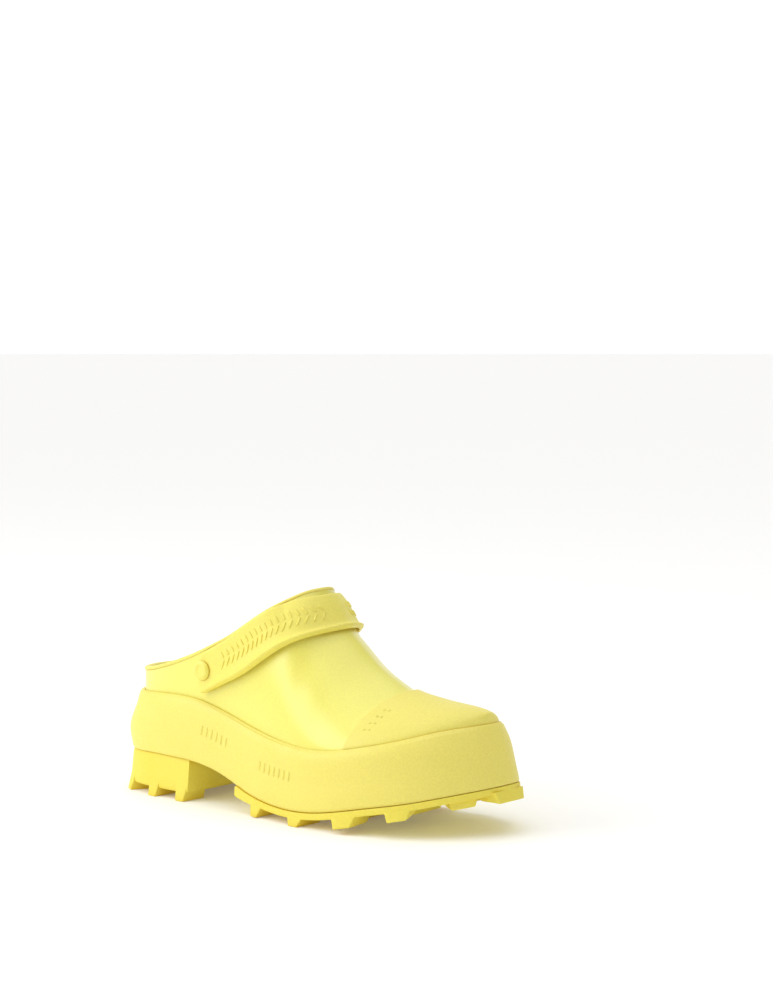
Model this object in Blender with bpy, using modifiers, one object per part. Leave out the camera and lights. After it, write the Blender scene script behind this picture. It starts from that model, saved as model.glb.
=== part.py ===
"""Rubber garden clog (right foot): a glossy moulded upper on a lugged platform
sole, with a swing-back heel strap on two rivets.

Built in metres, +Z up, toe towards +X, lateral side towards -Y.  The working
coordinates of the shape functions are millimetres with x measured from the
back of the heel; put() moves them to the part's own frame, whose origin is the
middle of the footprint box at ground level.
"""
import math
import bpy
import bmesh
import mathutils
import numpy as np

# ------------------------------------------------------------ dimensions, mm
LENGTH = 300.0              # outline length, EU 42
SHELL_T = 2.6               # moulded upper
LINING_T = 1.0
GAP = 0.35                  # between touching pieces
BOARD_T, FOAM_T, COVER_T = 1.8, 4.0, 1.2
BEAD_R = 1.5                # rolled collar edge
STRAP_T = 4.2
PIVOT_X, PIVOT_Z = 93.0, 87.3
SHANK_R = 3.0               # rivet shank
HOLE_R = 3.3                # holes in strap, shell and lining
HEAD_R = 6.4                # rivet button
CAP_R = 5.6                 # inner rivet cap
APEX_X = 163.0              # front of the foot opening on the instep line
CAP_X = 232.0               # back of the toe cap on the instep line
HEEL_FRONT = 78.5           # breast of the heel block
FORE_BACK = 124.0           # back end of the forefoot sole
BED = BOARD_T + FOAM_T + COVER_T + 2 * GAP

# plan of the sole edge, heel -> lateral -> toe -> medial
OUTLINE = [(0, 0), (4.5, -18), (18, -33), (40, -40), (70, -42.5), (105, -44.5),
           (140, -49.5), (172, -54.5), (204, -56.5), (234, -53), (260, -44),
           (281, -29), (295, -10), (300, 8), (296.5, 25), (284, 38), (262, 46),
           (234, 49), (204, 48.5), (172, 45.5), (140, 41.5), (105, 39.5),
           (70, 40.5), (40, 39), (18, 32.5), (4.5, 18)]


def spline(pts):
    """Natural cubic through (x, y) points, straight beyond its ends."""
    x = np.array([p[0] for p in pts], float)
    y = np.array([p[1] for p in pts], float)
    n = len(x)
    h = np.diff(x)
    A = np.eye(n)
    r = np.zeros(n)
    for i in range(1, n - 1):
        A[i, i - 1], A[i, i], A[i, i + 1] = h[i - 1], 2 * (h[i - 1] + h[i]), h[i]
        r[i] = 6 * ((y[i + 1] - y[i]) / h[i] - (y[i] - y[i - 1]) / h[i - 1])
    m = np.linalg.solve(A, r)

    def f(v):
        q = min(max(float(v), x[0]), x[-1])
        i = int(min(max(np.searchsorted(x, q) - 1, 0), n - 2))
        a, b = (x[i + 1] - q), (q - x[i])
        return float(m[i] * a ** 3 / (6 * h[i]) + m[i + 1] * b ** 3 / (6 * h[i])
                     + (y[i] / h[i] - m[i] * h[i] / 6) * a
                     + (y[i + 1] / h[i] - m[i + 1] * h[i] / 6) * b)
    return f


# side-view profiles, height over x
z_seam = spline([(0, 27.2), (25, 27.6), (45, 28.2), (62, 28.0), (78, 27.4), (92, 25.9),
                 (106, 23.0), (120, 18.8), (134, 14.2), (150, 10.8), (168, 9.1),
                 (188, 9.4), (213, 12.8), (236, 17.3), (262, 22.2), (280, 26.4), (300, 31.0)])
_tread = spline([(0, 0), (80, 0), (112, 2.2), (140, 0.8), (162, 0.0), (191, 0.0),
                  (206, 1.3), (222, 4.0), (240, 7.8), (258, 11.6), (280, 16.4), (300, 20.8)])


def z_tread(x):
    return max(_tread(x), 0.0)


z_fox = spline([(0, 66.3), (29, 66.6), (45, 67.6), (62, 68.2), (80, 67.6), (98, 64.8),
                (122, 58.9), (149, 52.8), (175, 49.2), (198, 48.5), (212, 49.8),
                (236, 54.2), (260, 59.0), (280, 63.6), (300, 66.2)])
z_rim = spline([(0, 78.2), (12, 78.4), (25, 79.4), (40, 82.0), (55, 86.0), (69, 90.6),
                (82, 95.6), (96, 101.9), (112, 110.0), (126, 119.2), (138, 127.4),
                (150, 134.6), (158, 138.6), (163, 140.4), (175, 144)])
z_spine = spline([(40, 196), (62, 192), (85, 185), (110, 174.5), (125, 167.3), (138, 160.0),
                  (150, 152.0), (163, 140.4), (175, 122.8), (188, 110.0), (197, 101.8),
                  (207, 94.0), (219, 87.2), (232, 81.0), (246, 77.6), (259, 75.4),
                  (273, 73.4), (284, 71.0), (300, 68)])
z_bed = spline([(0, 47.5), (30, 46), (62, 45.4), (90, 42), (120, 34), (150, 25.8), (175, 22),
                (200, 22.6), (230, 27), (260, 34), (280, 39.4), (300, 45)])
y_mid = spline([(0, 0), (60, 0), (110, -0.6), (150, -1.8), (175, -1.8), (200, -0.8), (240, 1.0), (268, 4), (288, 8), (300, 8)])
# shape of the upper's cross-section: how square its plan corner and how steep
# its wall, from boxy at the heel to roof-like over the toes
exp_y = spline([(0, 0.84), (60, 0.86), (93, 0.94), (125, 1.0), (300, 1.0)])
exp_z = spline([(0, 0.84), (60, 0.86), (93, 0.94), (125, 1.02), (150, 1.12), (188, 1.32),
                (220, 1.55), (250, 1.5), (280, 1.36), (300, 1.3)])
# where the rib that starts at x on the sole edge meets the instep line
target = spline([(0, 46), (9, 50), (30, 56), (50, 65), (70, 79), (93, 97.5), (115, 117),
                 (140, 141), (161, 163), (180, 187), (200, 212), (217, 232), (238, 249),
                 (258, 262), (274, 271), (288, 279), (296, 283), (300, 284.6)])
in_shell = spline([(0, 12.0), (50, 8.4), (100, 6.4), (150, 6.1), (200, 6.2), (230, 7.8),
                   (255, 10.8), (280, 14.2), (300, 15.4)])
in_top = spline([(0, 9.3), (50, 5.7), (100, 4.4), (150, 4.3), (200, 4.3), (230, 5.6),
                 (255, 8.2), (280, 11.4), (300, 12.4)])
# inset of the sidewall from the outline, by height fraction, in four zones
WALL_V = (0.0, 0.15, 0.45, 0.75, 0.93)
WALL = {0: (2.8, 1.7, 1.4, 6.4, 8.3), 45: (2.2, 1.2, 0.5, 2.6, 4.6), 100: (1.7, 0.8, 0.6, 1.4, 2.9),
        200: (1.4, 0.4, 1.1, 1.0, 2.6), 300: (1.2, 2.5, 4.9, 8.0, 11.2)}


def closed_spline(pts):
    """Periodic cubic through plan points, by chord length."""
    P = np.array(pts + [pts[0]], float)
    d = np.r_[0, np.cumsum(np.hypot(*np.diff(P, axis=0).T))]
    n = len(P) - 1
    h = np.diff(d)
    out = []
    for c in range(2):
        y = P[:, c]
        A = np.zeros((n, n))
        r = np.zeros(n)
        for i in range(n):
            k = (i - 1) % n
            A[i, k] += h[k]
            A[i, i] += 2 * (h[k] + h[i])
            A[i, (i + 1) % n] += h[i]
            r[i] = 6 * ((y[i + 1] - y[i]) / h[i] - (y[i] - P[k, c]) / h[k])
        m = np.linalg.solve(A, r)
        out.append(np.r_[m, m[0]])

    def f(t):
        s = (np.asarray(t, float) % 1.0) * d[-1]
        i = np.clip(np.searchsorted(d, s, side="right") - 1, 0, n - 1)
        a, b = d[i + 1] - s, s - d[i]
        res = []
        for c in range(2):
            y, m = P[:, c], out[c]
            res.append(m[i] * a ** 3 / (6 * h[i]) + m[i + 1] * b ** 3 / (6 * h[i])
                       + (y[i] / h[i] - m[i] * h[i] / 6) * a
                       + (y[i + 1] / h[i] - m[i + 1] * h[i] / 6) * b)
        return np.stack(res, -1)
    return f


plan = closed_spline(OUTLINE)
_t = np.linspace(0, 1, 4001)[:-1]
_p = plan(_t)
_heel, _toe = int(_p[:, 0].argmin()), int(_p[:, 0].argmax())
_lat = [(_heel + k) % 4000 for k in range((_toe - _heel) % 4000 + 1)]
_med = [(_heel - k) % 4000 for k in range((_heel - _toe) % 4000 + 1)]
X0, X1 = _p[_heel, 0], _p[_toe, 0]
_g = np.roll(_p, -1, 0) - np.roll(_p, 1, 0)
_g /= np.hypot(_g[:, 0], _g[:, 1])[:, None]
_area = 0.5 * np.sum(_p[:, 0] * np.roll(_p[:, 1], -1) - np.roll(_p[:, 0], -1) * _p[:, 1])
_in = np.stack([-_g[:, 1], _g[:, 0]], -1) * (1 if _area > 0 else -1)     # inward normals
_side = {-1: (_p[_lat], _in[_lat]), 1: (_p[_med], _in[_med])}


def edge(x, side, inset=0.0):
    """Plan point at sole-edge station x on a side (-1 lateral, +1 medial), moved
    inwards by inset along the outline's own normal."""
    P, N = _side[side]
    i = int(np.searchsorted(P[:, 0], x))
    i = min(max(i, 1), len(P) - 1)
    d = P[i, 0] - P[i - 1, 0]
    w = min(max((x - P[i - 1, 0]) / d, 0.0), 1.0) if d > 1e-12 else 0.0
    p = P[i - 1] + (P[i] - P[i - 1]) * w
    n = N[i - 1] + (N[i] - N[i - 1]) * w
    return p + n / math.hypot(n[0], n[1]) * inset


_rows = {}


def wall_inset(x, v):
    """Inset of the outer face of the sidewall at height fraction v."""
    if v >= 1:
        return in_top(x)
    if v not in _rows:
        _rows[v] = spline([(zx, spline(list(zip(WALL_V + (1.0,), WALL[zx] + (in_top(zx),))))(v))
                           for zx in sorted(WALL)])
    return _rows[v](x)


def rib(x, side, phi, grow=0.0, lift=0.0):
    """Point of the upper's outer surface on the rib that starts at station x.
    grow moves the base inwards, lift lowers the instep line."""
    b = edge(x, side, in_shell(x) + grow)
    sx = target(x)
    t = np.array([sx - grow * min(max((x - 240) / 60, 0), 1), y_mid(sx)])
    c, s = max(math.cos(phi), 0.0) ** exp_y(x), max(math.sin(phi), 0.0) ** exp_z(x)
    xy = b + (t - b) * (1 - c)
    zb = z_fox(x) - max(grow, 0.0) * min(max((x - 225) / 50, 0), 1)
    return np.array([xy[0], xy[1], zb + (z_spine(sx) - lift - zb) * s])


def rim_phi(x, side):
    """Rib angle at which the rib from station x reaches the collar line."""
    if target(x) >= APEX_X - 1e-6:
        return math.pi / 2
    lo, hi = 0.0, math.pi / 2
    for _ in range(26):
        m = (lo + hi) / 2
        p = rib(x, side, m)
        if p[2] < z_rim(p[0]):
            lo = m
        else:
            hi = m
    return (lo + hi) / 2


def surf(x, s, phi):
    """Point of the upper's outer surface and its normal there."""
    p = rib(x, s, phi)
    if phi > math.pi / 2 - 1e-6:
        q = p[0]
        n = np.array([z_spine(q - 0.5) - z_spine(q + 0.5), 0.0, 1.0])
        return p, n / np.linalg.norm(n)
    e = 1e-3
    a = rib(x, s, min(phi + e, math.pi / 2)) - rib(x, s, max(phi - e, 0))
    b = rib(x + 0.05, s, phi) - rib(x - 0.05, s, phi)
    n = np.cross(a, b)
    n /= np.linalg.norm(n)
    c = np.array([max(p[0], 50.0), y_mid(p[0]), p[2] - 60])
    if n @ (p - c) < 0:
        n = -n
    return p, n


def station_at(target_x):
    lo, hi = 0.0, 300.0
    for _ in range(30):
        m = (lo + hi) / 2
        if target(m) < target_x:
            lo = m
        else:
            hi = m
    return (lo + hi) / 2


XA = station_at(APEX_X)      # station whose rib ends at the front of the opening
XC = station_at(CAP_X)       # station whose rib is the back edge of the toe cap


def ease(a, b, n, k0=1.0, k1=1.0):
    """n stations from a towards b (b left out), closer together at an end whose k is 2."""
    u = np.arange(n) / n
    if k0 == 2 and k1 == 2:
        w = (1 - np.cos(math.pi * u)) / 2
    elif k0 == 2:
        w = 1 - np.cos(math.pi / 2 * u)
    elif k1 == 2:
        w = np.sin(math.pi / 2 * u)
    else:
        w = u
    return list(a + (b - a) * w)


STATIONS = (ease(X0, 55, 7, k0=2) + ease(55, 138, 7) + ease(138, XA, 4, k1=2)
            + ease(XA, XC, 6) + ease(XC, X1, 9, k1=2) + [X1])
NS = len(STATIONS) - 1
JA = min(range(NS + 1), key=lambda j: abs(STATIONS[j] - XA))
JC = min(range(NS + 1), key=lambda j: abs(STATIONS[j] - XC))
RING = [(0, -1)] + [(j, -1) for j in range(1, NS)] + [(NS, -1)] + [(j, 1) for j in range(NS - 1, 0, -1)]

# ------------------------------------------------------------------ the scene
for ob in list(bpy.data.objects):
    bpy.data.objects.remove(ob, do_unlink=True)
for c in list(bpy.data.collections):
    bpy.data.collections.remove(c)
parts = bpy.data.collections.new("garden_clog")
cutters = bpy.data.collections.new("cutters")
bpy.context.scene.collection.children.link(parts)
bpy.context.scene.collection.children.link(cutters)

OFFSET = np.array([0.0, 0.0, 0.0])     # set once the sole's box is known


def put(p):
    return tuple((np.asarray(p, float) - OFFSET) * 0.001)


def material(name, color, rough, metal=0.0):
    m = bpy.data.materials.new(name)
    m.use_nodes = True
    b = m.node_tree.nodes["Principled BSDF"]
    b.inputs["Base Color"].default_value = (*color, 1)
    b.inputs["Roughness"].default_value = rough
    b.inputs["Metallic"].default_value = metal
    m.diffuse_color = (*color, 1)
    return m


M = {
    "upper": material("glossy_yellow_rubber", (0.90, 0.86, 0.14), 0.18),
    "matte": material("matte_yellow_rubber", (0.90, 0.80, 0.22), 0.55),
    "sole": material("yellow_sole_rubber", (0.88, 0.74, 0.12), 0.6),
    "strap": material("strap_rubber", (0.90, 0.82, 0.25), 0.5),
    "rivet": material("rivet_plastic", (0.92, 0.86, 0.28), 0.35),
    "lining": material("lining_fabric", (0.78, 0.70, 0.28), 0.9),
    "foam": material("insole_foam", (0.85, 0.80, 0.55), 0.9),
    "board": material("insole_board", (0.55, 0.45, 0.30), 0.9),
    "cover": material("insole_cover", (0.80, 0.70, 0.20), 0.85),
    "steel": material("shank_steel", (0.55, 0.55, 0.57), 0.35, 1.0),
}


def new_object(name, verts, faces, mat, coll=None, smooth=True):
    me = bpy.data.meshes.new(name)
    me.from_pydata([put(v) for v in verts], [], faces)
    bm = bmesh.new()
    bm.from_mesh(me)
    bmesh.ops.remove_doubles(bm, verts=bm.verts, dist=1e-6)
    bmesh.ops.recalc_face_normals(bm, faces=bm.faces)
    if bm.calc_volume(signed=True) < 0:
        bmesh.ops.reverse_faces(bm, faces=bm.faces)
    bm.to_mesh(me)
    bm.free()
    me.materials.append(M[mat])
    ob = bpy.data.objects.new(name, me)
    (coll or parts).objects.link(ob)
    if smooth:
        me.shade_smooth()
        me.set_sharp_from_angle(angle=math.radians(35))
    return ob


def cut(ob, cutter):
    cutter.hide_render = True
    cutter.display_type = "WIRE"
    m = ob.modifiers.new("cut_" + cutter.name, "BOOLEAN")
    m.operation = "DIFFERENCE"
    m.object = cutter
    m.solver = "EXACT"


def cylinder(name, r, p0, p1, n=24):
    """Closed cylinder along Y from p0 to p1 in the cutters collection."""
    bm = bmesh.new()
    L = abs(p1[1] - p0[1]) * 0.001
    bmesh.ops.create_cone(bm, cap_ends=True, segments=n, radius1=r * 0.001,
                          radius2=r * 0.001, depth=L)
    me = bpy.data.meshes.new(name)
    bm.to_mesh(me)
    bm.free()
    ob = bpy.data.objects.new(name, me)
    cutters.objects.link(ob)
    mid = put(((p0[0] + p1[0]) / 2, (p0[1] + p1[1]) / 2, (p0[2] + p1[2]) / 2))
    ob.location = mid
    ob.rotation_euler = (math.pi / 2, 0, 0)
    return ob


class Skin:
    """Collects vertices and faces of one closed surface."""
    def __init__(self):
        self.v, self.f = [], []

    def add(self, p):
        self.v.append(p)
        return len(self.v) - 1

    def strip(self, a, b, closed=True):
        n = len(a)
        for i in range(n if closed else n - 1):
            k = (i + 1) % n
            q = []
            for w in (a[i], a[k], b[k], b[i]):
                if w not in q:
                    q.append(w)
            if len(q) > 2:
                self.f.append(q)


def upper_layer(name, grow0, grow1, low, mat, rows):
    """A skin of the upper between two nested surfaces, open at the collar."""
    sk = Skin()
    grids = []
    for grow in (grow0, grow1):
        lift = grow * 1.35
        g = {}
        for (j, s) in RING:
            x = STATIONS[j]
            end = rim_phi(x, s)
            col = [sk.add(np.r_[edge(x, s, in_shell(x) + grow), low(x)])]
            for k in range(rows + 1):
                if k == rows and j >= JA and s > 0 and (j, -1) in g:
                    col.append(g[(j, -1)][-1])
                else:
                    col.append(sk.add(rib(x, s, end * k / rows, grow, lift)))
            g[(j, s)] = col
        grids.append(g)
    for gi, g in enumerate(grids):
        cols = [g[r] for r in RING]
        for k in range(rows + 1):
            sk.strip([c[k] for c in cols], [c[k + 1] for c in cols])
    cols0, cols1 = [grids[0][r] for r in RING], [grids[1][r] for r in RING]
    sk.strip([c[0] for c in cols0], [c[0] for c in cols1])
    rim = [r for r in RING if r[0] <= JA]
    rim = [r for r in rim if r[1] < 0] + [(j, 1) for j in range(JA - 1, 0, -1)]
    sk.strip([grids[0][r][-1] for r in rim], [grids[1][r][-1] for r in rim])
    return new_object(name, sk.v, sk.f, mat), sk, grids


def plate(name, inset, top, bottom, mat, x_from=None, x_to=None, side_rows=None):
    """A sheet that follows side-view curves top(x), bottom(x) inside the outline."""
    sk = Skin()
    xs = [x for x in STATIONS]
    if x_from is not None:
        xs = [x_from] + [x for x in xs if x > x_from + 2]
    if x_to is not None:
        xs = [x for x in xs if x < x_to - 2] + [x_to]
    ring = [(x, -1) for x in xs] + [(x, 1) for x in reversed(xs[1:-1])]
    first = [] if x_from is None else [(xs[0], 1)]
    last = [] if x_to is None else [(xs[-1], 1)]
    ring = [(x, -1) for x in xs] + last + [(x, 1) for x in reversed(xs[1:-1])] + first
    ins = inset if callable(inset) else (lambda x, h: inset)
    levels = side_rows or (1.0, 0.0)
    loops = []
    for h in levels:
        loop = []
        for (x, s) in ring:
            xy = edge(x, s, ins(x, h))
            zt, zb = top(xy[0]), bottom(xy[0])
            loop.append(sk.add(np.r_[xy, zb + (zt - zb) * h]))
        loops.append(loop)
    for a, b in zip(loops, loops[1:]):
        sk.strip(a, b)
    for loop, flip in ((loops[0], False), (loops[-1], True)):
        ids = {r: loop[i] for i, r in enumerate(ring)}
        for xa, xb in zip(xs, xs[1:]):
            q = []
            for w in (ids[(xa, -1)], ids[(xb, -1)], ids.get((xb, 1), ids[(xb, -1)]), ids.get((xa, 1), ids[(xa, -1)])):
                if w not in q:
                    q.append(w)
            if len(q) > 2:
                sk.f.append(q if flip else q[::-1])
    return new_object(name, sk.v, sk.f, mat), sk


# the sole's footprint box sets the frame's origin
LUG_OUT = 1.4
OFFSET = np.array([(X0 + X1) / 2, (_p[:, 1].min() + _p[:, 1].max()) / 2, 0.0])


def wedge_top(x):
    return z_bed(x) - BED


# ---------------------------------------------------------------- upper shell
shell, shell_skin, shell_grid = upper_layer(
    "upper_shell", 0.0, SHELL_T, lambda x: wedge_top(x) + GAP, "upper", 7)
lining, _, _ = upper_layer(
    "upper_lining", SHELL_T + GAP, SHELL_T + GAP + LINING_T,
    lambda x: wedge_top(x) + GAP, "lining", 7)

# --------------------------------------------------------- rolled collar edge
rim_ring = [(j, -1) for j in range(JA + 1)] + [(j, 1) for j in range(JA - 1, 0, -1)]


def rim_frame(x, s):
    """Middle of the collar edge and the direction out of it along the surface."""
    e = rim_phi(x, s)
    mid = (rib(x, s, e) + rib(x, s, e, SHELL_T + GAP + LINING_T, (SHELL_T + GAP + LINING_T) * 1.35)) / 2
    return mid


rim_mid = np.array([rim_frame(STATIONS[j], s) for j, s in rim_ring])
rim_n = np.array([surf(STATIONS[j], s, rim_phi(STATIONS[j], s))[1] for j, s in rim_ring])
tang = np.roll(rim_mid, -1, 0) - np.roll(rim_mid, 1, 0)
up = np.cross(tang, rim_n)
up /= np.linalg.norm(up, axis=1)[:, None]
up *= np.sign(up @ np.array([-0.6, 0, 1.0]))[:, None]
near = np.exp(-((rim_mid[:, 0] - APEX_X) / 7.0) ** 2)[:, None]
path = rim_mid + up * (BEAD_R + GAP + 0.35 + 1.6 * near)
cu = bpy.data.curves.new("collar_binding", "CURVE")
cu.dimensions = "3D"
cu.bevel_depth = BEAD_R * 0.001
cu.bevel_resolution = 2
sp = cu.splines.new("POLY")
sp.points.add(len(path) - 1)
for q, p in zip(sp.points, path):
    q.co = (*put(p), 1)
sp.use_cyclic_u = True
cu.materials.append(M["matte"])
binding = bpy.data.objects.new("collar_binding", cu)
parts.objects.link(binding)

# --------------------------------------------------------------- sidewall band
sk = Skin()
loops = []
for v in WALL_V + (1.0,):
    loop = []
    for (j, s) in RING:
        x = STATIONS[j]
        xy = edge(x, s, wall_inset(x, v))
        zs = z_seam(xy[0])
        loop.append(sk.add(np.r_[xy, zs + (z_fox(x) - zs) * v]))
    loops.append(loop)
inner = []
for h in (1.0, 0.0):
    loop = []
    for (j, s) in RING:
        x = STATIONS[j]
        xy = edge(x, s, in_shell(x) - GAP)
        loop.append(sk.add(np.r_[xy, z_fox(x) if h else z_seam(xy[0])]))
    inner.append(loop)
for a, b in zip(loops + inner, (loops + inner)[1:] + [loops[0]]):
    sk.strip(a, b)
foxing = new_object("sidewall_band", sk.v, sk.f, "matte")

# -------------------------------------------------------------------- toe cap
CAP_ROWS = 7
CAP_T = 2.0


def cap_top(x, s, phi):
    b = edge(x, s, in_top(x) + 0.2)
    sx = target(x)
    t = np.array([sx, y_mid(sx)])
    c, q = max(math.cos(phi), 0.0) ** exp_y(x), max(math.sin(phi), 0.0) ** exp_z(x)
    xy = b + (t - b) * (1 - c)
    zb = z_fox(x) + GAP + 1.0
    return np.array([xy[0], xy[1], zb + (z_spine(sx) + 0.45 + CAP_T - zb) * q])


def cap_under(x, s, phi):
    if phi <= 0:
        return np.r_[edge(x, s, in_top(x) + 0.2), z_fox(x) + GAP]
    p = rib(x, s, phi, -0.25, -0.55)
    p[2] = max(p[2], z_fox(x) + GAP)
    return p


sk = Skin()
cap_ring = [(j, -1) for j in range(JC, NS + 1)] + [(j, 1) for j in range(NS - 1, JC - 1, -1)]
sheets = []
for fn in (cap_top, cap_under):
    g = {}
    for (j, s) in cap_ring:
        col = []
        for k in range(CAP_ROWS + 1):
            if k == CAP_ROWS and s > 0:
                col.append(g[(j, -1)][-1])
            else:
                col.append(sk.add(fn(STATIONS[j], s, math.pi / 2 * k / CAP_ROWS)))
        g[(j, s)] = col
    sheets.append(g)
for g in sheets:
    cols = [g[r] for r in cap_ring]
    for k in range(CAP_ROWS):
        sk.strip([c[k] for c in cols], [c[k + 1] for c in cols], closed=False)
a = [sheets[0][r][0] for r in cap_ring]
b = [sheets[1][r][0] for r in cap_ring]
sk.strip(a, b, closed=False)
back = [[g[(JC, -1)][k] for k in range(CAP_ROWS + 1)] + [g[(JC, 1)][k] for k in range(CAP_ROWS - 1, -1, -1)]
        for g in sheets]
sk.strip(back[0], back[1], closed=False)
toe_cap = new_object("toe_cap", sk.v, sk.f, "matte")

# -------------------------------------------------- midsole, insole, sock, shank
inside = SHELL_T + GAP + LINING_T + GAP
wedge, _ = plate("midsole_wedge", lambda x, h: in_shell(x) + GAP * 0.6,
                 lambda x: wedge_top(x), lambda x: z_seam(x), "foam")
board, _ = plate("insole_board", lambda x, h: in_shell(x) + inside,
                 lambda x: wedge_top(x) + GAP + BOARD_T, lambda x: wedge_top(x) + GAP, "board")
foam, _ = plate("insole_foam", lambda x, h: in_shell(x) + inside + 0.3,
                lambda x: wedge_top(x) + 2 * GAP + BOARD_T + FOAM_T,
                lambda x: wedge_top(x) + 2 * GAP + BOARD_T, "foam")
cover, _ = plate("insole_cover", lambda x, h: in_shell(x) + inside + 0.1,
                 lambda x: wedge_top(x) + 3 * GAP + BOARD_T + FOAM_T + COVER_T,
                 lambda x: wedge_top(x) + 3 * GAP + BOARD_T + FOAM_T, "cover")


def bar(name, x0, x1, half, top, bottom, mat, n=8, coll=None):
    """A straight-sided strip along the arch."""
    sk = Skin()
    loops = []
    for i in range(n + 1):
        x = x0 + (x1 - x0) * i / n
        loops.append([sk.add((x, y, z)) for y, z in ((-half, bottom(x)), (half, bottom(x)), (half, top(x)), (-half, top(x)))])
    for a, b in zip(loops, loops[1:]):
        sk.strip(a, b)
    sk.f.append(loops[0])
    sk.f.append(loops[-1][::-1])
    return new_object(name, sk.v, sk.f, mat, coll)


shank = bar("shank_plate", 62, 150, 8.0, lambda x: wedge_top(x) - 0.3, lambda x: wedge_top(x) - 2.0, "steel")
slot = bar("shank_slot", 61.6, 150.4, 8.4, lambda x: wedge_top(x) + 1.0, lambda x: wedge_top(x) - 2.35, "steel", coll=cutters)
cut(wedge, slot)

# ---------------------------------------------------------------- tread blocks
def lug(sk, x, s, half, depth, z0, z1, flare=1.6, out=LUG_OUT, root=-0.95):
    """A tapered block under the sole edge: length 2*half along the edge, depth
    inwards, from z0 up at the plate down to the tread line.  Its outer face
    leaves the plate at root and stands out by out at the ground."""
    c = edge(x, s, 0.0)
    n = edge(x, s, 1.0) - c
    n /= np.hypot(*n)
    t = np.array([-n[1], n[0]])
    rows = []
    for top in (1, 0):
        h = half + (flare if top else 0.0)
        o = out if not top else min(root, out)
        row = []
        for a, b in ((-h, -o), (h, -o), (h, depth + (2 if top else 0)), (-h, depth + (2 if top else 0))):
            q = c + t * a + n * b
            z = z0(q[0]) if top else z1(c[0] + (t * a)[0])
            row.append(sk.add(np.r_[q, z]))
        rows.append(row)
    sk.strip(rows[0], rows[1])
    sk.f.append(rows[0])
    sk.f.append(rows[1][::-1])


def union(ob, other):
    other.hide_render = True
    other.display_type = "WIRE"
    m = ob.modifiers.new("join_" + other.name, "BOOLEAN")
    m.operation = "UNION"
    m.object = other
    m.solver = "EXACT"


PLATE_T = 4.2


def plate_t(x):
    """Thickness of the forefoot plate, deeper towards its back edge."""
    return PLATE_T + 2.6 * min(max((150 - x) / 24, 0), 1)


fore, _ = plate("forefoot_outsole", lambda x, h: 1.0 if h == 1.0 else 0.6,
                lambda x: z_seam(x) - GAP, lambda x: max(z_seam(x) - GAP - plate_t(x), z_tread(x) + 4.0), "sole",
                x_from=FORE_BACK)


def lug_top(x):
    return z_seam(x) - 3.0


# station, half length at the ground, flare, stand-out at the ground
FORE_LUGS = [(145, 2.8, 3.0, 1.4), (182, 3.6, 3.4, 1.4), (221, 6.0, 3.0, 1.4),
             (256, 6.0, 2.4, 1.4)]
TOE_CORNERS = [(288.5, -1, 7.5, 1.5, -4.0), (279, 1, 7.0, 1.5, 1.2)]
TOE_LUG = [(X1 - 0.01, -1, 12.0, 2.0, 1.6)]


def lug_row(name, rows, depth):
    sk = Skin()
    for x, s, half, flare, out in rows:
        lug(sk, x, s, half, depth, lug_top, z_tread, flare, out)
    union(fore, new_object(name, sk.v, sk.f, "sole", coll=cutters))


lug_row("fore_lugs", [(r[0], s) + r[1:] for r in FORE_LUGS for s in (-1, 1)], 19.0)
lug_row("toe_corner_lugs", TOE_CORNERS, 17.0)
lug_row("toe_lug", TOE_LUG, 13.0)
sk = Skin()
for x in (163, 202, 240):
    lo = [(x - 6, -13), (x + 6, -13), (x + 6, 13), (x - 6, 13)]
    ht = [(x - 7.6, -14.6), (x + 7.6, -14.6), (x + 7.6, 14.6), (x - 7.6, 14.6)]
    a = [sk.add((px, py - 3, z_seam(x) - 3.0)) for px, py in ht]
    b = [sk.add((px, py - 3, z_tread(px) + 0.3)) for px, py in lo]
    sk.strip(a, b)
    sk.f.append(a)
    sk.f.append(b[::-1])
mid_lugs = new_object("mid_lugs", sk.v, sk.f, "sole", coll=cutters)
union(fore, mid_lugs)

HEEL_Z = 5.6
heel, _ = plate("heel_outsole", lambda x, h: 1.0 + 2.0 * h,
                lambda x: z_seam(x) - GAP, lambda x: HEEL_Z, "sole", x_to=HEEL_FRONT,
                side_rows=(1.0, 0.5, 0.0))
sk = Skin()
for x, half in ((18, 3.6), (46, 3.8), (72.5, 3.8)):
    for s in (-1, 1):
        lug(sk, x, s, half, 18.0, lambda x: 12.5, lambda x: 0.0, 1.5, 1.3, -1.9)
lug(sk, X0 + 0.01, -1, 5.0, 13.0, lambda x: 12.5, lambda x: 0.0, 1.5, 1.3, -1.9)
heel_lugs = new_object("heel_lugs", sk.v, sk.f, "sole", coll=cutters)
union(heel, heel_lugs)

# ----------------------------------------------------------------- heel strap
strap_up = spline([(80, 93.0), (88, 96.4), (96, 100.2), (112, 108.2), (126, 116.8), (138, 125.0),
                   (150, 132.0), (160, 136.4), (167, 138.2), (176, 139.6)])
strap_low = spline([(80, 66.4), (88, 70.0), (100, 75.2), (117, 82.2), (135, 91.0), (146, 98.2),
                    (157, 105.4), (166, 110.8), (175, 114.4), (188, 117.4), (200, 118.4)])


def band_line(q):
    return lambda x: strap_up(x) + (strap_low(x) - strap_up(x)) * q


def front_station(q):
    """Station whose rib meets the band line exactly on the instep line."""
    f = band_line(q)
    lo, hi = XA - 5, XA + 60
    for _ in range(30):
        m = (lo + hi) / 2
        if z_spine(target(m)) > f(target(m)):
            lo = m
        else:
            hi = m
    return (lo + hi) / 2


def band_phi(x, s, q):
    f = band_line(q)
    lo, hi = 0.0, math.pi / 2
    for _ in range(26):
        m = (lo + hi) / 2
        p = rib(x, s, m)
        if p[2] < f(p[0]):
            lo = m
        else:
            hi = m
    return (lo + hi) / 2


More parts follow.
